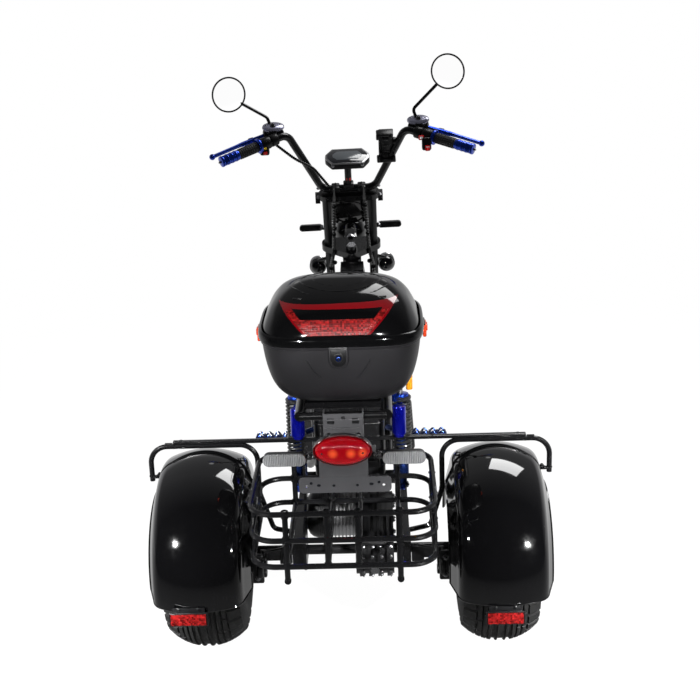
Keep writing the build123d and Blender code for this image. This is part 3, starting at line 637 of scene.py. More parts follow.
for side, word in ((-1, "left"), (1, "right")):
    buildTyre(rearWheel, f"tyre_{word}", f"rear_wheel_{word}", f"rear_tyre_{word}",
              at(side * rearWheel["x"], 0, rearWheel["radius"]))


def bothSides(half):
    # A rim or hub profile from the half beyond its middle
    return [(r, -z) for r, z in half] + half[::-1]


for side, word in ((-1, "left"), (1, "right")):
    place = at(side * rearWheel["x"], 0, rearWheel["radius"])
    bm = bmesh.new()
    barrel = bothSides([(96, 86), (113, 86), (114, 80), (103, 76), (97, 66)])
    put(bm, lathe(barrel + [(91, 74), (91, -74), (96, -86)], 72), 0, at(turnY=90))
    dish = [(92, 44), (70, 40), (52, 30), (34, 28), (34, 22), (52, 24), (70, 34), (92, 38)]
    put(bm, lathe(dish, 60), 0, at(turnY=90 * side))
    put(bm, lathe([(0, 66), (20, 66), (26, 60), (27, 28), (0, 28)], 36), 0, at(turnY=90 * side))
    for k in range(5):
        put(bm, box(15, 62, 9, 3), 0, at(turnX=72 * k) @ at(side * 42, 60, 0, turnY=90))
    for k in range(4):
        turn = at(turnX=90 * k + math.degrees(0.4))
        put(bm, hexBolt(7, 6), 1, turn @ at(side * 30, 44, 0, turnY=90 * side))
    piece(bm, f"rim_{word}", f"rear_wheel_{word}", [rimBlack, bolt], [f"rear_rim_{word}"], place)
print("rear wheels done")


# Fenders with a rolled lip and the small reflector below

fender = {"half": 118, "top": 251, "wall": 4, "lip": 156, "front": 78, "rear": 95, "steps": 84}


def fenderSection(half, top, crownHalf, crownDrop, shoulder, lip):
    # Across the fender: a crown arc, a curve over the shoulder and a straight side down to the lip
    crown = (crownHalf ** 2 + crownDrop ** 2) / (2 * crownDrop)
    right = [(x, top - crown + math.sqrt(crown ** 2 - x ** 2)) for x in [crownHalf * k / 8 for k in range(9)]]
    start, turn, end = Vector(right[-1]), Vector((shoulder[0], top - shoulder[1])), Vector((half, lip))
    pull = Vector((crownHalf + (turn.x - crownHalf) * 0.86, top - crownDrop - 8))
    for t in [k / 8 for k in range(1, 9)]:
        right.append(tuple(start * (1 - t) ** 2 + pull * 2 * t * (1 - t) + turn * t ** 2))
    right += [tuple(turn.lerp(end, k / 4)) for k in range(1, 5)]
    return [(-x, r) for x, r in reversed(right[1:])] + right


def buildFender(outer, inner, angles, steps, bead):
    first, last = (math.radians(angle) for angle in angles)

    def around(x, r, a):
        return (x, r * math.sin(a), r * math.cos(a))

    bm = bmesh.new()
    ring = [bm.verts.new(around(x, r, first)) for x, r in outer + inner[::-1]]
    edges = [bm.edges.new(pair) for pair in zip(ring, ring[1:] + ring[:1])]
    bm.faces.new(ring)
    swept = bmesh.ops.spin(bm, geom=ring + edges, cent=(0, 0, 0), axis=(1, 0, 0), dvec=(0, 0, 0),
                           angle=first - last, steps=steps, use_merge=False, use_duplicate=False)
    bmesh.ops.edgeloop_fill(bm, edges=[e for e in swept["geom_last"] if isinstance(e, bmesh.types.BMEdge)])
    turns = [first + (last - first) * k / steps for k in range(steps + 1)]
    for rim in ([around(*outer[0], a) for a in turns], [around(*outer[-1], a) for a in turns],
                [around(x, r - 1.5, first) for x, r in outer], [around(x, r - 1.5, last) for x, r in outer]):
        put(bm, tubeAlong(rim, bead, sides=8))
    return bm


outer = fenderSection(fender["half"], fender["top"], 80, 16, (103, 44), fender["lip"])
inner = fenderSection(fender["half"] - fender["wall"], fender["top"] - fender["wall"], 77, 15, (98, 42),
                      fender["lip"] - 1)
for side, word in ((-1, "left"), (1, "right")):
    bm = buildFender(outer, inner, (-fender["rear"], fender["front"]), fender["steps"], 2.2)
    piece(bm, f"fender_shell_{word}", "chassis", [gloss], [f"fender_{word}"],
          at(side * rearWheel["x"], 0, rearWheel["radius"]), 40)

bm = bmesh.new()
for side in (-1, 1):
    x, z = side * (rearWheel["x"] + 9) - 9, 183 - side * 6
    put(bm, box(74, 4, 34, 1), 0, at(x, -253, z + 8))
    put(bm, box(88, 6, 34, 2, 3), 0, at(x, -259, z))
    put(bm, box(80, 4, 27, 1.2), 1, at(x, -262, z))
    for dx in (-22, 22):
        put(bm, slottedScrew(4, 2), 0, at(x + dx, -255, z + 22, turnX=90))
piece(bm, "fender_lamps", "chassis", [plastic, redCells], ["fender_reflectors"])
print("fenders done")


# Hoops, rack bar and basket

hoop = {"outer": 480, "inner": 222, "y": 60, "top": 476, "radius": 6.4}
outerX, innerX, hoopY = hoop["outer"], hoop["inner"], hoop["y"]
bm = bmesh.new()
for side in (-1, 1):
    route = [(outerX, 388), (outerX, hoop["top"]), (innerX, hoop["top"]), (innerX, 350), (192, 252),
             (140, 240)]
    put(bm, tube([(side * x, hoopY, z) for x, z in route], hoop["radius"], [42, 42, 60, 18], 16, 12))
    put(bm, box(24, 14, 5, 1.2), 0, at(side * 468, hoopY, 398))
    put(bm, hexBolt(5, 4), 0, at(side * 462, hoopY, 402))
    for x in (innerX + 44, outerX - 46):
        put(bm, tubeAlong([(side * (x - 9), hoopY, 482), (side * (x + 9), hoopY, 482)], 3.2, sides=8))
    for x, z in ((innerX, 352), (outerX, 400)):
        put(bm, disc(7.6, 4, 1.6, 16), 0, at(side * x, hoopY, z))
piece(bm, "hoops", "chassis", [paint], ["fender_hoops"])

bm = bmesh.new()
put(bm, box(846, 12.6, 8.6, 1.6), 0, at(0, hoopY, 486))
for side in (-1, 1):
    put(bm, box(3, 12, 16, 0.8), 0, at(side * 421, hoopY, 479))
    for x in (200, 404):
        put(bm, lathe([(0, 1.2), (4.5, 1), (5.5, 0), (0, 0)], 20), 1, at(side * x, hoopY, 490.2))
piece(bm, "rack_top", "chassis", [paint, satin], ["rack_bar"])

basket = {"x": -10, "half": 203, "rear": -283, "front": 46, "top": 454, "step": 63, "corner": 55,
          "ring": 6.5, "post": 6.4, "sides": (-173, -63), "posts": ((-124, 40), (-34, 0), (34, 0), (124, 40))}
rearY, frontY, topZ = basket["rear"], basket["front"], basket["top"]
levels = [topZ - basket["step"] * k for k in range(3)]
lowZ = levels[-1]


def post(start, end, edge=2):
    put(bm, rod(start, end, basket["post"], edge, 16))


def weld(x, y, z):
    put(bm, lathe([(6.4, -2.4), (8.4, -1), (8.4, 1), (6.4, 2.4)], 16), 0, at(x, y, z))


bm = bmesh.new()
hoopOutline = roundedOutline(2 * basket["half"], frontY - rearY, basket["corner"], 10)
for z in levels:
    ring = [(x, y, z) for x, y in moved(hoopOutline, basket["x"], (frontY + rearY) / 2)]
    put(bm, tubeAlong(ring, basket["ring"], closed=True, sides=16))
for x, foot in basket["posts"]:
    x += basket["x"]
    post((x, rearY, lowZ - foot), (x, rearY, topZ))
    post((x, frontY, lowZ), (x, frontY, topZ))
    post((x, rearY, lowZ), (x, frontY, lowZ), 0)
    for z in levels:
        for y in (rearY, frontY):
            weld(x, y, z + 7)
            if z > lowZ:
                weld(x, y, z - 7)
    if foot:
        put(bm, hexBolt(5, 4), 0, at(x, rearY - 4, lowZ - foot + 7, turnX=90))
        put(bm, disc(7.5, 12, 2, 20), 0, at(x, rearY, lowZ - foot + 6, turnX=90))
for y in basket["sides"]:
    for side in (-1, 1):
        x = basket["x"] + side * basket["half"]
        post((x, y, lowZ), (x, y, topZ))
        for z in levels[:-1]:
            weld(x, y, z - 7)
piece(bm, "basket", "chassis", [paint],
      ["basket_rear", "basket_front", "basket_left", "basket_right", "basket_floor"])
print("basket done")


# Tail bracket, lamp, plate holder and turn signals

bm = bmesh.new()
column = [(-40, 560), (40, 560), (40, 684), (-40, 684)]
holes = [moved(roundedOutline(15, 13, 2, 2), x, 668) for x in (-26, 26)]
holes.append(moved(roundedOutline(8, 8, 1, 2), 0, 674))
put(bm, sheetWithHoles(column, holes, 3), 0, at(0, -282.5, 0, turnX=90))
for side in (-1, 1):
    put(bm, box(3, 16, 96, 0.6), 0, at(side * 41, -275, 612))
    put(bm, box(3, 26, 28, 0.6), 0, at(side * 41, -270, 672))
    put(bm, slottedScrew(5.5, 4), 1, at(side * 31, -284, 637, turnX=90))
    put(bm, box(14, 3, 24, 1), 0, at(side * 60, -284, 600))
put(bm, box(80, 46, 3, 0.6), 0, at(0, -262, 670.5))
put(bm, box(78, 3, 2.4, 0.6), 0, at(0, -285, 652))
put(bm, box(104, 3, 56, 1), 0, at(-2, -298.5, 574))
holes = [moved(ovalOutline(6, 6, 16), x, -2) for x in (-82, 82)]
put(bm, sheetWithHoles(roundedOutline(197, 36, 10), holes, 3), 0, at(0, -298.5, 529, turnX=90))
# Small dark plates on the holder's face: painted shade standing in for its slot openings
for x, z, wide in ((-56, 529, 8), (-24, 528, 6), (26, 528, 6), (56, 530, 9), (-72, 534, 6), (72, 534, 6)):
    put(bm, roundedPlate(wide, 5.5, 2.6, 1, 0.2), 2, at(x, -300.2, z, turnX=90))
piece(bm, "tail_column", "chassis", [sheetGrey, bolt, screen], ["tail_bracket"])


def domeRings(wide, tall, depth, count, steps, power):
    rings = []
    for k in range(count):
        a = math.pi / 2 * k / count
        share = math.cos(a) ** (2 / power)
        oval = scaled(ovalOutline(wide, tall, steps), share, share)
        rings.append([(x, y, depth * math.sin(a)) for x, y in oval])
    return rings


def levelRings(wide, tall, rows):
    return [[(x * share, y * share, z) for x, y in ovalOutline(wide, tall)] for share, z in rows]


bm = bmesh.new()
lampAt = at(-3, -284, 608, turnX=90)
put(bm, ringLoft(levelRings(124, 68, ((1, 0), (1, 15)))), 0, lampAt)
collar = ((1, 14), (1, 18), (0.965, 19), (0.96, 15))
put(bm, ringLoft(levelRings(125, 69, collar), False), 3, lampAt)
put(bm, ringLoft(domeRings(118, 62, 22, 8, 48, 3.2)), 2, lampAt @ at(z=15))
for x in (-42, 42):
    put(bm, slottedScrew(3.2, 2.4), 1, lampAt @ at(x, 0, 30.5))
piece(bm, "tail_lamp", "chassis", [plastic, chrome, redLens, redSmooth], ["tail_light"])

bm = bmesh.new()
for side in (-1, 1):
    spot = at(side * 126, -298, 592, turnX=90)
    put(bm, roundedPlate(90, 26, 12.9, 16, 3, 3), 0, spot)
    put(bm, roundedPlate(91, 27, 13.4, 9, 2.5, 3), 1, spot @ at(z=9))
    put(bm, roundedPlate(91.6, 27.6, 13.6, 1.6, 0.6), 0, spot @ at(z=8))
    for k in range(4):
        put(bm, box(12, 13, 4, 2), 1, spot @ at(-28 + 18 * k, 0, 12.5))
    put(bm, rod((side * 40, -290, 592), (side * 84, -290, 592), 5))
    put(bm, disc(8, 10, 1.5), 2, at(side * 74, -290, 592, turnY=90))
    put(bm, hexBolt(6, 6), 2, at(side * 62, -290, 592, turnY=90 * side))
put(bm, box(46, 20, 16, 2), 0, at(52, -288, 574))
piece(bm, "tail_signals", "chassis", [plastic, ribbed, bolt], ["rear_signals"])
print("tail done")


# Trunk: bowl, lid with its band and red panel, lock and clips

trunk = {"seam": 843, "half": 169, "deep": 300, "corner": 4.2, "wall": 3.5}
bowlProfile = ((843, 169, 0), (838, 169, 0), (815, 167, 2), (783, 162, 6), (753, 154, 13), (735, 146, 20),
               (723, 138, 27), (712, 127, 36), (703, 114, 48), (697, 98, 64), (694, 78, 86))
lidProfile = ((844, 169, -302, 0), (864, 164, -300, -2), (890, 152, -287, -9), (904, 143, -274, -18),
              (916, 132, -258, -30), (925, 120, -240, -48), (933, 105, -218, -70), (939, 88, -194, -94),
              (943, 66, -172, -118), (945, 38, -158, -136))


def caseRing(halfX, rear, front, z, power=trunk["corner"], steps=88):
    # A rounded rectangle: the higher the power, the squarer its corners
    def reach(value):
        return math.copysign(abs(value) ** (2 / power), value)

    turns = [math.tau * (k + 0.5) / steps for k in range(steps)]
    return [(halfX * reach(math.cos(a)), (rear + front) / 2 + (front - rear) / 2 * reach(math.sin(a)), z)
            for a in turns]


def curved(p, q, r, w, t):
    # The smooth curve through four values, a share t of the way from the second to the third
    return 0.5 * (2 * q + (r - p) * t + (2 * p - 5 * q + 4 * r - w) * t * t
                  + (3 * q - p - 3 * r + w) * t ** 3)


def smoothed(rows, extra=3):
    result = []
    for k in range(len(rows) - 1):
        near = rows[max(0, k - 1)], rows[k], rows[k + 1], rows[min(len(rows) - 1, k + 2)]
        for j in range(extra):
            result.append(tuple(curved(*values, j / extra) for values in zip(*near)))
    return result + [rows[-1]]


def bowlRings(wall=0.0):
    return [caseRing(half - wall, inset + wall - trunk["deep"], -inset - wall, z + (wall if z < 700 else 0))
            for z, half, inset in smoothed(bowlProfile)]


def openTop(bm, above):
    caps = [f for f in bm.faces if len(f.verts) > 8 and abs(f.calc_center_median().z - above) < 3]
    bmesh.ops.delete(bm, geom=caps, context="FACES_ONLY")
    return bm


seam, wall = trunk["seam"], trunk["wall"]
bm = openTop(ringLoft(bowlRings()), seam)
put(bm, openTop(ringLoft(bowlRings(wall)), seam))
lip = [(0, seam), (-2.5, seam), (-3, 840), (-3, 833), (-1.5, 831), (0, 831), (wall, seam), (0, seam)]
put(bm, ringLoft([caseRing(trunk["half"] - i, i - trunk["deep"], -i, z) for i, z in lip], False))
lock = at(-4, -301.5, 817, turnX=90)
shield = [(-20, 22), (-20, -8), (-16, -19), (-7, -25), (7, -25), (16, -19), (20, -8), (20, 22)]
put(bm, outlinePrism(shield, 9, 2, 3), 0, lock)
put(bm, outlinePrism(scaled(shield, 0.82, 0.82), 3, 1.2), 3, lock @ at(z=4.5))
put(bm, lathe([(0, 9), (5, 9), (6, 8), (6.4, 5)], 30), 2, lock @ at(0, -2, 1))
put(bm, lathe([(6.4, 6), (10.5, 6.6), (11.5, 6), (12.5, 3), (12.5, 0), (0, 0)], 36), 1, lock @ at(0, -2, 1))
put(bm, box(1.6, 7, 1.2, 0.2), 3, lock @ at(0, -2, 10))
for side in (-1, 1):
    crease = [(-4 + side * 66, -297.5, 808), (-4 + side * 54, -297, 786), (-4 + side * 38, -292.5, 766)]
    put(bm, tube(crease, 1.0, [24], 8))
piece(bm, "trunk_bowl", "chassis", [bowl, satin, blueDark, plastic], ["trunk_base"],
      angle=50)


def lidRings(grow=0.0):
    rings = []
    for z, half, rear, front in smoothed(lidProfile):
        share = (z - 844) / 101
        power = trunk["corner"] - 1.4 * share
        rings.append(caseRing(half + grow, rear - grow, front + grow, z + grow * share, power))
    return rings


bm = openTop(ringLoft(lidRings()), 844)
put(bm, openTop(ringLoft(lidRings(-wall)), 844), 1)
band = [(3, 838), (5, 838.5), (6.5, 842), (6.8, 849), (6, 854), (4.5, 857), (0, 859)]
put(bm, ringLoft([caseRing(trunk["half"] + g, -302 - g, g, z) for g, z in band], False))


def lidTop(x, y):
    best = 844
    for z, half, rear, front in smoothed(lidProfile, 6):
        middle, reach = (rear + front) / 2, (front - rear) / 2
        if (abs(x) / half) ** 3.2 + (abs(y - middle) / reach) ** 3.2 <= 1:
            best = z
    return best


for wide, deep, width in ((168, 132, 1.9), (116, 88, 1.3)):
    ridge = [(x, y, lidTop(x, y) - 0.6) for x, y in moved(ovalOutline(wide, deep, 60), 0, -152)]
    put(bm, tubeAlong(ridge, width, closed=True, sides=8))
for side in (-1, 1):
    path = [(side * (64 + 50 * k / 16), -222 + 70 * (k / 16) ** 1.6) for k in range(17)]
    put(bm, tubeAlong([(x, y, lidTop(x, y) - 0.7) for x, y in path], 1.8, sides=8))
    foot = at(side * 88, -232, lidTop(side * 88, -232) + 0.5, turnX=30, turnZ=side * 14)
    put(bm, box(20, 4, 3, 1.2), 1, foot)
trim = [(x, -14 - 0.0012 * x * x, 899 - 0.0006 * x * x) for x in range(-112, 113, 14)]
put(bm, tubeAlong(trim, 3, sides=8), 2)
piece(bm, "trunk_cover", "lid", [lidGloss, plastic, alloy], ["trunk_lid"], angle=50)


def cutBy(bm, point, normal):
    bmesh.ops.bisect_plane(bm, geom=bm.verts[:] + bm.edges[:] + bm.faces[:], plane_co=point,
                           plane_no=normal, clear_outer=True)


def panel(grow, low, high, lowHalf, highHalf, tilt=0.0, middle=-5.0):
    # A patch of the lid's rear face, cut out of a slightly larger lid
    bm = ringLoft(lidRings(grow))
    cutBy(bm, (0, -205, 0), (0, 1, 0))
    cutBy(bm, (middle, 0, high), (-tilt, 0, 1))
    cutBy(bm, (0, 0, low), (0, 0, -1))
    lean = (highHalf - lowHalf) / (high - low)
    cutBy(bm, (middle + lowHalf, 0, low), (1, 0, -lean))
    cutBy(bm, (middle - lowHalf, 0, low), (-1, 0, -lean))
    bmesh.ops.solidify(bm, geom=bm.faces[:], thickness=1.6)
    return bm


bm = panel(1.4, 863, 918, 68, 125, tilt=0.016)
put(bm, panel(2.5, 863, 906, 62, 107), 1)
put(bm, panel(3.2, 893, 910, 76, 94), 2)
piece(bm, "trunk_reflector", "lid", [redSmooth, redCells, gloss], ["lid_reflector"],
      angle=40)

bm = bmesh.new()
for side in (-1, 1):
    clip = at(side * 178, -151, 826)
    put(bm, box(8, 36, 30, 3, 3), 0, clip)
    put(bm, box(4, 22, 14, 1.6), 0, clip @ at(side * 4.5, 0, 4))
    put(bm, rod((side * 176, -172, 841), (side * 176, -130, 841), 3.2), 1)
piece(bm, "trunk_clips", "chassis", [orange, plastic], ["trunk_latches"])
print("trunk done")


# Shocks, springs and the drive

shock = {"x": 124, "y": 88, "z": 350, "lean": math.radians(5), "length": 272, "springX": 128, "canX": 121,
         "canBack": -44, "coil": 21, "wire": 3.1, "turns": 19}


def onShock(reach, side, x=shock["x"], back=0):
    # A point reach mm up the leaning shock, back mm ahead of it
    return Vector((side * x, shock["y"] + reach * math.sin(shock["lean"]) + back,
                   shock["z"] + reach * math.cos(shock["lean"])))


bm = bmesh.new()
for side in (-1, 1):
    for low, high, radius, edge, mat in ((0, 150, 14, 0.8, 4), (20, 62, 19, 2, 4), (140, 268, 8, 0.8, 2),
                                         (214, 232, 22, 2, 0)):
        put(bm, rod(onShock(low, side), onShock(high, side), radius, edge), mat)
    for low, high, radius, edge, sides in ((146, 218, 17, 5, 32), (140, 150, 12, 2, 20)):
        low, high = [onShock(reach, side, shock["canX"], shock["canBack"]) for reach in (low, high)]
        put(bm, rod(low, high, radius, edge, sides), 1)
    put(bm, box(16, 44, 14, 3), 0, at(*onShock(206, side, back=shock["canBack"] / 2)))
    for reach in (0, shock["length"]):
        eye = at(*onShock(reach, side), turnY=90)
        put(bm, lathe(bothSides([(6, 9), (13, 9), (14, 7)]) + [(6, -9)], 28), 0, eye)
        put(bm, hexBolt(8, 7), 2, eye @ at(z=9 * side, turnX=0 if side > 0 else 180))
put(bm, disc(8, 44, 3, 24), 3, at(148, 108, 612, turnX=-6))
piece(bm, "dampers", "chassis", [blue, blueGloss, bolt, amber, blueDark], ["shock_bodies"])

bm = bmesh.new()
for side in (-1, 1):
    low, high = [onShock(reach, side, shock["springX"]) for reach in (62, 226)]
    put(bm, coil(low, high, shock["coil"], shock["wire"], shock["turns"], 24, 10))
piece(bm, "springs", "chassis", [springBlack], ["shock_springs"])

bm = bmesh.new()
motorAt = at(0, 118, 262, turnY=90)
fins = []
for k in range(7):
    z = -54 + 9 * k
    fins += [(56.5, z), (61, z + 0.8), (61, z + 3.4), (56.5, z + 4.2)]
put(bm, lathe([(56, -55)] + fins + [(56, 10), (0, 10)], 64), 0, motorAt)
dome = [(0, -113), (22, -112.6), (38, -111), (50, -105), (57, -96), (60, -84), (60, -56), (56, -55)]
put(bm, lathe(dome, 64), 1, motorAt)
for k in range(5):
    ridge = [(59.6, -60), (60.8, -61), (60.8, -62), (59.6, -63)]
    put(bm, lathe(ridge, 64), 1, motorAt @ at(z=-5 * k))
for k in range(6):
    put(bm, hexBolt(4, 3), 2, motorAt @ at(turnZ=60 * k) @ at(40, 0, -109, turnX=180))
piece(bm, "motor_body", "chassis", [alloy, satin, bolt], ["motor"])
print("drive done")


# Seat, battery, deck and pegs

cushion = {"wide": 270, "long": 560, "corner": 100, "middle": 300, "base": 692, "tall": 63, "rise": 7,
           "fill": 0.85, "voxel": 0.006, "heldBelow": 0.7, "pressure": 4.0, "frames": 20, "mostSwell": 0.009,
           "rows": ((692, 0.93), (700, 0.985), (716, 1.0), (734, 0.985), (745, 0.94), (751, 0.86), (754, 0.7),
                    (755, 0.45))}


def rearRise(y):
    # The cushion's last 160 mm climb towards its rear end
    return max(0, (-y - 120) / 160)


def cushionForm():
    rings = []
    for z, share in cushion["rows"]:
        lift = cushion["rise"] * (z - cushion["base"]) / cushion["tall"]
        outline = roundedOutline(cushion["wide"], cushion["long"], cushion["corner"], 8)
        rings.append([(x * share * (1 - 0.06 * max(0, y) / 280),
                       cushion["middle"] + y * (share if share < 0.95 else 1), z + rearRise(y) * lift)
                      for x, y in outline])
    bm = ringLoft(rings)
    bm.transform(toFrame)
    mesh = bpy.data.meshes.new("seat_pad")
    bm.to_mesh(mesh)
    bm.free()
    pad = bpy.data.objects.new("seat_pad", mesh)
    bpy.context.scene.collection.objects.link(pad)
    return pad


def swell(pad):
    # The foam's cover: pressed out by air, held at its foot, and kept within a few millimetres
    scene = bpy.context.scene
    bpy.context.view_layer.objects.active = pad
    pad.select_set(True)
    voxels = pad.modifiers.new("voxels", "REMESH")
    voxels.mode = "VOXEL"
    voxels.voxel_size = cushion["voxel"]
    bpy.ops.object.modifier_apply(modifier="voxels")
    before = [v.co.copy() for v in pad.data.vertices]
    held = pad.vertex_groups.new(name="held")
    held.add([v.index for v in pad.data.vertices if v.co.z < cushion["heldBelow"]], 1.0, "REPLACE")
    cover = pad.modifiers.new("cover", "CLOTH")
    cover.settings.use_pressure = True
    cover.settings.uniform_pressure_force = cushion["pressure"]
    cover.settings.vertex_group_mass = "held"
    cover.settings.effector_weights.gravity = 0
    cover.settings.tension_stiffness = 30
    cover.settings.bending_stiffness = 1.5
    cover.settings.quality = 6
    cover.point_cache.frame_start, cover.point_cache.frame_end = 1, cushion["frames"]
    for number in range(1, cushion["frames"] + 1):
        scene.frame_set(number)
        bpy.context.evaluated_depsgraph_get()
    bpy.ops.object.modifier_apply(modifier="cover")
    for vert, start in zip(pad.data.vertices, before):
        shift = vert.co - start
        if shift.length > cushion["mostSwell"]:
            vert.co = start + shift.normalized() * cushion["mostSwell"]
    scene.frame_set(1)
    finer = pad.modifiers.new("finer", "SUBSURF")
    finer.levels = finer.render_levels = 1
    bpy.ops.object.modifier_apply(modifier="finer")
    pad.select_set(False)


pad = cushionForm()
swell(pad)
for face in pad.data.polygons:
    face.use_smooth = True
pad.data.materials.append(leather)
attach(pad, "chassis")
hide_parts("seat_cushion")
pieceFaces["seat_pad"] = sum(len(q.vertices) - 2 for q in pad.data.polygons)

bm = bmesh.new()
for z, across, along, rise in ((694, 0.965, 0.965, 0), (741, 0.975, 0.985, 5)):
    welt = [(x * across, cushion["middle"] + y * along, z + rearRise(y) * rise)
            for x, y in roundedOutline(274, 564, 100, 10)]
    put(bm, tubeAlong(welt, 2.2, closed=True, sides=8))
for y in range(140, 461, 80):
    seam = [(x, y - 14 * math.cos(x / 96 * 1.4), 757.2 - 0.0003 * x * x) for x in range(-96, 97, 12)]
    put(bm, tubeAlong(seam, 1.3, sides=6))
piece(bm, "seat_seams", "chassis", [leather])
print("seat done")

bm = bmesh.new()
put(bm, roundedPlate(172, 200, 22, 276, 5, 3), 0, at(0, 188, 510))
for z in (398, 510, 622):
    put(bm, roundedPlate(174, 202, 22, 6, 1.6), 1, at(0, 188, z))
for x in (-44, -22, 0, 22, 44):
    put(bm, box(5, 4, 70, 1.5), 1, at(x, 88, 566))
for side in (-1, 1):
    for z in (420, 600):
        put(bm, hexBolt(5, 3), 2, at(side * 62, 88, z, turnX=90))
put(bm, lathe([(0, 9), (9, 9), (12, 5), (12, 0), (0, 0)], 24), 2, at(-87, 200, 560, turnY=-90))
put(bm, box(80, 60, 10, 4), 1, at(0, 188, 651))
piece(bm, "battery_box", "chassis", [plastic, satin, bolt], ["battery_case"])

deck = {"wide": 330, "long": 420, "corner": 40, "middle": 660, "rows": 11, "columns": 7}
bm = bmesh.new()
put(bm, outlinePrism(roundedOutline(deck["wide"], deck["long"], deck["corner"], 8), 9, 2), 0,
    at(0, deck["middle"], 279.5))
for row in range(deck["rows"]):
    for column in range(deck["columns"]):
        x = (column - 3) * 42 + (10 if row % 2 else -10)
        stud = at(x, 500 + row * 32, 284.6, turnZ=35 if column % 2 else -35)
        put(bm, box(26, 5, 3, 1.2), 1, stud)
for x in (-140, 140):
    for y in (480, 840):
        put(bm, slottedScrew(6, 3), 2, at(x, y, 284))
edge = roundedOutline(deck["wide"] - 2, deck["long"] - 2, deck["corner"], 8)
trim = [(x, y, 281) for x, y in moved(edge, 0, deck["middle"])]
put(bm, tubeAlong(trim, 4.5, closed=True, sides=10))
piece(bm, "deck_plate", "chassis", [satin, gripRubber, bolt], ["footboard"])

bm = bmesh.new()
for side in (-1, 1):
    put(bm, rod((side * 92, 300, 416), (side * 142, 250, 418), 8, 2))
    for y in (239, 261):
        wave = [(side * (138 + k * 2.7), y, 420 + 5.5 * math.sin(k * 0.78)) for k in range(40)]
        put(bm, tubeAlong(wave, 2.6, sides=10))
    for k in range(6):
        x = side * (144 + 19 * k)
        put(bm, rod((x, 239, 420), (x, 261, 420), 3))
    put(bm, box(104, 16, 5, 1.5), 0, at(side * 192, 250, 415))
    put(bm, hexBolt(6, 5), 1, at(side * 140, 250, 428))
piece(bm, "pegs", "chassis", [blueDark, bolt], ["footpegs"])


# Rear calipers and the gear case's bolts

bm = bmesh.new()
for side in (-1, 1):
    x = side * 229
    put(bm, roundedPlate(46, 82, 16, 14, 4, 3), 0, at(x - side * 14, -62, 220, turnY=90))
    put(bm, roundedPlate(40, 78, 15, 8, 3, 3), 0, at(x + side * 8, -62, 220, turnY=90))
    put(bm, box(34, 12, 74, 4, 3), 0, at(x - side * 5, -86, 220))
    for z in (198, 242):
        put(bm, disc(13, 10, 3, 28), 0, at(x - side * 22, -62, z, turnY=90))
        put(bm, hexBolt(5, 5), 1, at(x - side * 8, -92, z, turnX=90))
    put(bm, box(30, 8, 40, 2), 0, at(side * 158, -29, 222))
    put(bm, box(36, 7, 30, 2), 0, at(side * 188, -29, 226))
    put(bm, box(6, 30, 36, 2), 0, at(side * 206, -42, 222))
    put(bm, tube([(side * 160, -30, 246), (side * 168, -70, 262), (side * 206, -78, 258)], 3.5, [18], 10), 2)
piece(bm, "calipers", "chassis", [satin, bolt, plastic], ["rear_calipers"])

bm = bmesh.new()
for rib in range(4):
    for k in range(7):
        a = math.radians(150 + 22 * k)
        spot = at(27 + 22 * rib, 63 * math.cos(a), 223 + 63 * math.sin(a), turnX=math.degrees(a) - 90)
        put(bm, hexBolt(3.4, 2.6), 1, spot)
for k in range(9):
    a = math.tau * k / 9
    put(bm, hexBolt(4, 3.4), 1, at(101, 112 + 52 * math.cos(a), 255 + 52 * math.sin(a), turnY=90))
put(bm, box(70, 16, 20, 3), 0, at(54, -52, 268, turnX=-38))
put(bm, lathe([(0, 9), (11, 9), (13, 6), (13, 0), (0, 0)], 6), 1, at(55, -60, 200, turnX=100))
piece(bm, "gear_bolts", "chassis", [satin, bolt])
print("deck and drive details done")


# Handlebar and what is clamped to it, laid out with the bars straight

bars = {"up": 81, "bend": 167, "end": 344, "clamp": 76, "back": (75, 176), "rise": (177, 128), "radius": 11}
barY = headPoint.y + forkOffset * math.cos(rake) - bars["up"] * math.sin(rake)
barZ = headPoint.z + forkOffset * math.sin(rake) + bars["up"] * math.cos(rake)


def barAt(x, side=1, shift=(0, 0, 0)):
    # A point on the straight outer length of the bar, moved by shift
    share = (x - bars["bend"]) / (bars["end"] - bars["bend"])
    back, rise = [first + (last - first) * share for first, last in (bars["back"], bars["rise"])]
    return Vector((side * (x + shift[0]), barY - back + shift[1], barZ + rise + shift[2]))


def sleeveOn(start, end, radius, edge, mat, side):
    put(bm, rod(barAt(start, side), barAt(end, side), radius, edge, 32), mat)


bm = bmesh.new()
points = [barAt(bars["end"], -1), barAt(bars["bend"], -1), (-bars["clamp"], barY, barZ),
          (bars["clamp"], barY, barZ), barAt(bars["bend"]), barAt(bars["end"])]
put(bm, tube(points, bars["radius"], [32, 34, 34, 32], 24, 12))
for x in (-38, 38):
    put(bm, box(24, 30, 17, 4, 3), 1, at(x, barY, barZ + 2, turnX=26))
    for dy in (-10, 10):
        put(bm, hexBolt(3.4, 3), 1, at(x, barY + dy, barZ + 10 - dy * 0.4, turnX=26))
piece(bm, "bar_tube", "steering", [paint, satin], ["handlebar"], barPlace)

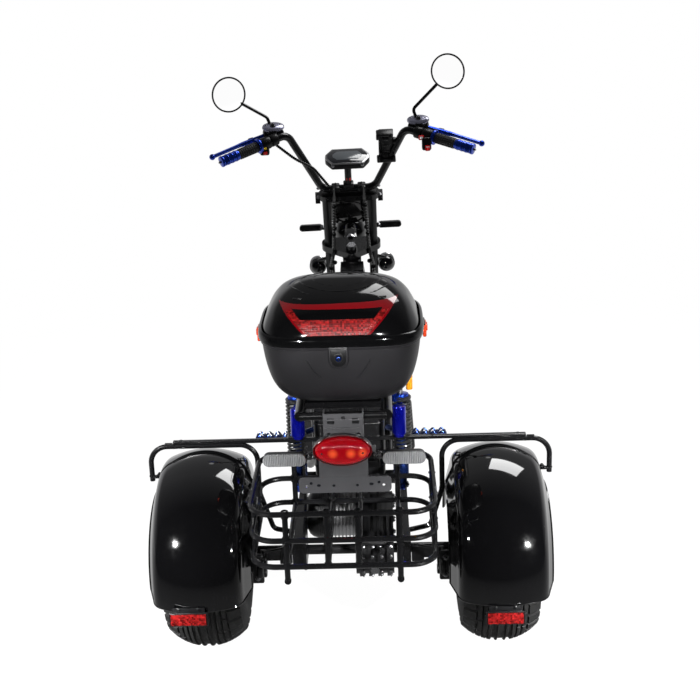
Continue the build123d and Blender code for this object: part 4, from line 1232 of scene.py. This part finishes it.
bm = bmesh.new()
for side in (-1, 1):
    for start, end, radius, edge, mat in ((249, 303, 14.2, 2, 0), (302, 344, 14.6, 2.5, 1),
                                          (343, 350, 15.5, 2, 1), (243, 249.5, 21.5, 1.5, 1)):
        sleeveOn(start, end, radius, edge, mat, side)
    for k in range(9):
        sleeveOn(254 + 5.4 * k, 256.6 + 5.4 * k, 15.2, 0.6, 0, side)
    for k in range(3):
        sleeveOn(308 + 11 * k, 313 + 11 * k, 15.4, 1.2, 1, side)
    axis = (barAt(340, side) - barAt(260, side)).normalized()
    outward = axis.cross(Vector((0, 0, 1))).normalized() * 14.1
    for k in range(16):
        off = Matrix.Rotation(math.tau * k / 16, 4, axis) @ outward
        put(bm, rod(barAt(252, side) + off, barAt(300, side) + off, 1.1, 0.3, 8))
    put(bm, hexBolt(3, 3), 2, aim(barAt(350, side), barAt(352, side)))
piece(bm, "grip_sleeves", "steering", [gripRubber, blue, bolt], ["grips"], barPlace)

bm = bmesh.new()
for side in (-1, 1):
    points = ((214, 34, 12), (232, 46, 15), (300, 58, 16), (374, 52, 16))
    path = filletPath([barAt(x, side, (0, ahead, up)) for x, ahead, up in points], [26, 120])
    radii = [1.25 - 0.5 * k / (len(path) - 1) for k in range(len(path))]
    put(bm, tubeAlong(path, 7.2, sides=16, radii=radii))
    put(bm, ball(8.6), 0, at(*barAt(376, side, (0, 52, 16))))
    put(bm, rod(barAt(262, side, (0, 56, 15)), barAt(276, side, (0, 58, 16)), 8.6, 2, 24), 1)
    put(bm, rod(barAt(222, side, (0, 38, 5)), barAt(222, side, (0, 38, 27)), 8, 2, 24))
    put(bm, hexBolt(4.5, 3), 2, at(*barAt(222, side, (0, 38, 27))))
piece(bm, "lever_blades", "steering", [blue, satin, bolt], ["brake_levers"], barPlace)

bm = bmesh.new()
for side in (-1, 1):
    here = barAt(206, side)
    put(bm, rod(barAt(196, side), barAt(214, side), 17, 2, 28))
    put(bm, box(58, 30, 22, 6, 3), 0, at(here.x, here.y + 34, here.z + 13, turnZ=side * -12))
    put(bm, box(22, 16, 22, 3), 0, at(here.x, here.y + 15, here.z + 14))
    cup = at(here.x, here.y + 31, here.z + 25, turnX=24, turnZ=side * -18)
    put(bm, outlinePrism(ovalOutline(58, 36), 10, 2, 2), 0, cup)
    dome = ((0.96, 4), (1, 6), (1, 9), (0.96, 12), (0.85, 14), (0.6, 15.4), (0.3, 16))
    put(bm, ringLoft(levelRings(64, 41, dome)), 1, cup)
    for x in (-21, 21):
        put(bm, slottedScrew(2.6, 2), 2, cup @ at(x, 0, 14))
    for dz in (-8, 8):
        put(bm, hexBolt(3.4, 4), 2, at(here.x, here.y + 14, here.z + 14 + dz, turnX=-90))
    hose = [here + Vector((side * dx, 34, dz)) for dx, dz in ((-30, 10), (-40, 8))]
    put(bm, rod(*hose, 5, 1), 2)
piece(bm, "brake_masters", "steering", [satin, lavender, bolt], ["master_cylinders"],
      barPlace)

bm = bmesh.new()
for side in (-1, 1):
    put(bm, rod(barAt(217, side), barAt(241, side), 18, 2.5, 28))
# Each pod is placed where the photograph shows it, then its boxes: size, edge, shift and material
pods = {
    (-232, 800, 1056): ((26, 26, 34, 5, (2, 6, 4), 0), (13, 6, 7, 2, (2, -9, 8), 1),
                        (11, 6, 9, 2, (4, -9, -6), 2)),
    (224, 797, 1060): ((26, 24, 36, 5, (0, 8, 2), 0), (14, 7, 16, 2.5, (2, -5, -9), 2),
                       (10, 3, 2, 0.6, (2, -9, -5), 3)),
    (209, 800, 1079): ((15, 9, 13, 2.5, (0, 3, 0), 2), (9, 3, 7, 1, (0, -2, 0), 3)),
}
for place, parts in pods.items():
    pod = at(*(toBar @ Vector(place)))
    for wide, deep, tall, edge, shift, mat in parts:
        put(bm, box(wide, deep, tall, edge, 3 if edge == 5 else 2), mat, pod @ at(*shift))
put(bm, ball(4.4), 1, at(*(toBar @ Vector((-232, 800, 1056)))) @ at(-7, -10, 12))
piece(bm, "switch_pods", "steering", [plastic, yellow, redPlastic, white], ["switchgear"],
      barPlace)

mirrorStems = {-1: ((221, 864, 1144), (290, 868, 1186), (325, 864, 1214)),
               1: ((192, 864, 1146), (262, 868, 1212), (294, 864, 1248))}
bm = bmesh.new()
for side, stem in mirrorStems.items():
    base = barAt(206, side, (0, 22, 22))
    put(bm, tube([base] + [(side * x, y, z) for x, y, z in stem], 4.6, [14, 50], 16))
    put(bm, rod(base - Vector((0, 0, 2)), base + Vector((0, 0, 16)), 8, 1.5, 24))
    put(bm, hexBolt(7, 6), 1, at(*base) @ at(z=14))
    centreX, centreZ = stem[-1][0], stem[-1][2]
    face = at(side * centreX, 857, centreZ, turnZ=side * -22) @ at(turnX=90)
    shell = [(0, -9), (26, -8.5), (42, -5), (48, 1), (49.6, 5), (49.4, 7.4), (47, 8.4), (45, 7), (45, 5),
             (0, 5)]
    put(bm, lathe(shell, 64), 0, face)
    put(bm, disc(44.8, 1.5, 0.3, 64), 2, face @ at(z=5.6))
    put(bm, ball(9), 0, at(side * centreX * 0.985, 866, centreZ - 3))
piece(bm, "mirrors", "steering", [paint, bolt, mirror], ["mirror_arms", "mirror_glass"],
      barPlace)

bm = bmesh.new()
put(bm, rod((0, barY - 2, barZ + 8), (0, barY - 30, barZ + 80), 10, 2, 24))
put(bm, box(30, 24, 14, 3), 0, at(0, barY - 3, barZ + 12, turnX=20))
put(bm, box(13, 3, 9, 1.2), 3, at(1, barY - 19, barZ + 30, turnX=22))
head = at(0, barY - 37, barZ + 90, turnX=22)
outline = [(-64, -8), (-46, -38), (46, -38), (64, -8), (64, 12), (44, 42), (-44, 42), (-64, 12)]
put(bm, outlinePrism(outline, 20, 5, 3), 0, head)
put(bm, outlinePrism(scaled(outline, 0.985, 0.985), 5, 1.6), 1, head @ at(z=9))
put(bm, outlinePrism(scaled(outline, 0.9, 0.88), 4, 1), 2, head @ at(z=10.6))
put(bm, outlinePrism(scaled(outline, 0.66, 0.56), 3, 0.6), 4, head @ at(0, 2, 11.6))
for side in (-1, 1):
    put(bm, ball(4.6), 1, head @ at(side * 42, -37, 4))
piece(bm, "display_unit", "steering", [plastic, alloy, screen, redPlastic, screenGrey], ["display"],
      barPlace)

bm = bmesh.new()
cradle = at(112, 872, 1052, turnX=26)
put(bm, box(42, 9, 96, 3, 3), 0, cradle)
for size, shift in (((24, 10, 60, 3), (0, -6, -2)), ((48, 26, 9, 3), (-4, -18, 48)),
                    ((9, 8, 18, 2.5), (-24, -27, 42)), ((9, 8, 14, 2.5), (12, -29, 43)),
                    ((54, 26, 12, 3), (0, -12, -44)), ((8, 9, 18, 2.5), (-22, -23, -36)),
                    ((8, 9, 18, 2.5), (22, -23, -36))):
    put(bm, box(*size), 0, cradle @ at(*shift))
for z in (-20, 0, 20):
    put(bm, box(20, 2, 6, 1), 1, cradle @ at(0, -12, z))
put(bm, rod((104, 880, 1030), (118, 892, 1000), 15, 3, 24))
put(bm, lathe([(0, 10), (9, 10), (11, 7), (11, 0), (0, 0)], 10), 0, cradle @ at(20, 0, 8, turnY=90))
piece(bm, "phone_cradle", "steering", [plastic, gripRubber], ["phone_holder"], barPlace)
print("bars done")


# Below the bar: looms, cover plate, lamps, front signals and clamp bolts

def ribbedLoom(points, bends, radius, pitch, tip=False):
    # Ribbed all along, and with a tip its first end grows from a point
    path = filletPath(points, bends, 10)
    fine = []
    for a, b in zip(path, path[1:]):
        count = max(1, int((b - a).length / (pitch / 2)))
        fine += [a + (b - a) * (k / count) for k in range(count)]
    fine.append(path[-1])
    radii = [1.0 if k % 2 else 0.7 for k in range(len(fine))]
    if tip:
        for k in range(10):
            radii[k] = 0.2 + 0.07 * k
    return tubeAlong(fine, radius, sides=12, radii=radii)


bm = bmesh.new()
for side in (-1, 1):
    run = [(42, 4, 113), (50, -4, -60), (54, -6, -128), (66, 10, -200), (66, 12, -262)]
    put(bm, ribbedLoom([(side * x, y, z) for x, y, z in run], [300, 120, 60], 6.4, 10, True), 2)
    for z in (40, -40, -170):
        put(bm, disc(8, 5, 1, 20), 1, at(side * (46 - z * 0.045), z * 0.02, z))
run = [(-205, 878, 1066), (-150, 846, 1026), (-98, 868, 992), (-58, 888, 935)]
put(bm, ribbedLoom([(steerPlace.inverted() @ barPlace) @ Vector(q) for q in run], [40, 60], 4.6, 6))
piece(bm, "looms", "steering", [plastic, satin, gloss], ["control_looms"], steerPlace)

bm = bmesh.new()
plate = at(0, forkOffset - 4, 2, turnX=90)
outline = [(-58, 42), (-44, 47), (44, 47), (58, 42), (58, -30), (40, -47), (-40, -47), (-58, -30)]
put(bm, outlinePrism(outline, 5, 1.5, 2), 0, plate)
ring = [(x, y, 3) for x, y in moved(ovalOutline(92, 80, 48), 0, -6)]
put(bm, tubeAlong(ring, 1.8, closed=True, sides=8), 0, plate)
for x in (-46, 46):
    put(bm, hexBolt(4, 3), 1, plate @ at(x, 30, 3))
piece(bm, "cover_plate", "steering", [gloss, bolt], ["fork_plate"], steerPlace)

level = Matrix.Rotation(math.radians(90) - rake, 4, "X")
bm = bmesh.new()
lampPlace = Matrix.Translation((0, forkOffset + 110, -176)) @ level
put(bm, lathe([(0, 42), (18, 41), (36, 33), (47, 18), (52, -4), (53.5, -26), (53.5, -34)], 56), 0, lampPlace)
put(bm, lathe([(53, -24), (55.5, -27), (55.5, -36), (52, -40), (48, -38), (48, -34)], 56), 1, lampPlace)
put(bm, lathe([(48.5, -35), (40, -38.5), (22, -40), (0, -40.4)], 56), 2, lampPlace)
put(bm, box(38, 62, 11, 3), 0, at(0, forkOffset + 48, -140))
put(bm, hexBolt(9, 9), 1, at(0, forkOffset + 22, -125))
put(bm, tube([(-14, 70, -112), (-12, 84, -92), (12, 84, -92), (14, 70, -112)], 1.8, [10, 10], 8))
for side in (-1, 1):
    spot = Matrix.Translation((side * 106, forkOffset + 14, -225)) @ level
    put(bm, lathe([(0, 27), (12, 26), (20, 20), (24.5, 8), (25, -16), (25, -24)], 40), 0, spot)
    put(bm, lathe([(24.5, -20), (26, -22), (26, -26), (23, -28), (22, -25)], 40), 1, spot)
    put(bm, lathe([(22.5, -25), (14, -26.5), (0, -27)], 40), 2, spot)
    for k in range(3):
        put(bm, lathe([(24.6, -10), (26, -9), (26, -7), (24.6, -6)], 40), 0, spot @ at(z=7 * k))
    put(bm, rod((side * 70, forkOffset, -182), (side * 104, forkOffset + 10, -202), 6, 1))
piece(bm, "front_lights", "steering", [gloss, chrome, clearGlass], ["front_lamps"],
      steerPlace)

bm = bmesh.new()
for side in (-1, 1):
    bar = Matrix.Translation((side * 119, forkOffset + 22, -79)) @ level
    put(bm, roundedPlate(70, 18, 8.9, 20, 3, 3), 0, bar)
    put(bm, roundedPlate(62, 12, 5.9, 4, 1.2), 1, bar @ at(z=-10))
    put(bm, rod((side * 72, forkOffset + 2, -70), (side * 92, forkOffset + 16, -76), 5, 1))
    put(bm, hexBolt(4, 4), 2, at(side * 84, forkOffset + 10, -68))
piece(bm, "front_indicators", "steering", [plastic, ribbed, bolt], ["front_signals"],
      steerPlace)

bm = bmesh.new()
for side in (-1, 1):
    for y in (14, 56):
        put(bm, hexBolt(4.2, 4), 0, at(side * (legX + 22), y, 68))
    for z, radius in ((-480, 21), (-496, 19.5)):
        wiper = lathe([(17, -5), (radius, -4), (radius, 4), (17, 5)], 32)
        put(bm, wiper, 1, at(side * legX, forkOffset, z))
put(bm, lathe([(0, 22), (13, 22), (16, 17), (16, 8), (0, 8)], 6), 0, at(z=-127))
piece(bm, "fork_bolts", "steering", [bolt, satin], place=steerPlace)


# Front wheel, fender and brake

frontWheel = {"radius": frontRadius, "half": 41, "crown": 52, "bead": 152, "beadHalf": 33, "steps": 240,
              "cuts": (1.5, 6, 8.5, 18, 20.5, 28, 36), "depth": 4, "slant": 0.12,
              "blocks": ((0, 1.5, 12, 0), (1.5, 6, 12, 2), (8.5, 18, 6, 1), (20.5, 36, 6, 2))}
frontPlace = steerPlace @ at(0, forkOffset, -axleDrop) @ Matrix.Rotation(-rake, 4, "X")
buildTyre(frontWheel, "tyre_front", "front_wheel", "front_tyre", frontPlace)

bm = bmesh.new()
barrel = bothSides([(146, 34), (162, 34), (163, 30), (153, 28), (147, 20)])
put(bm, lathe(barrel + [(141, 26), (141, -26), (146, -34)], 72), 0, at(turnY=90))
hub = bothSides([(10, 40), (24, 40), (26, 34), (30, 20)]) + [(10, -40)]
put(bm, lathe(hub, 40), 0, at(turnY=90))
for k in range(6):
    for lean in (-1, 1):
        put(bm, box(12, 118, 13, 3), 0, at(turnX=60 * (k + 0.22 * lean)) @ at(0, 84, 0, turnY=90))
put(bm, lathe(bothSides([(60, 1.8), (88, 1.8)]) + [(60, -1.8)], 64), 1, at(-31, turnY=90))
for k in range(5):
    turn = at(turnX=72 * k)
    put(bm, box(14, 40, 4, 1), 1, turn @ at(-31, 44, 0, turnY=90))
    put(bm, hexBolt(4, 4), 1, turn @ at(-33, 28, 0, turnY=-90))
piece(bm, "rim_front", "front_wheel", [rimBlack, alloy], ["front_rim"], frontPlace)

outer = fenderSection(50, 237, 30, 7, (44, 18), 203)
inner = fenderSection(47, 234, 28, 6, (41, 17), 204)
bm = buildFender(outer, inner, (-73, 45), 56, 1.8)
piece(bm, "fender_front", "steering", [gloss], ["front_fender"], frontPlace, 40)
print("front done")


print("pieces", len(pieceFaces), "triangles", sum(pieceFaces.values()))
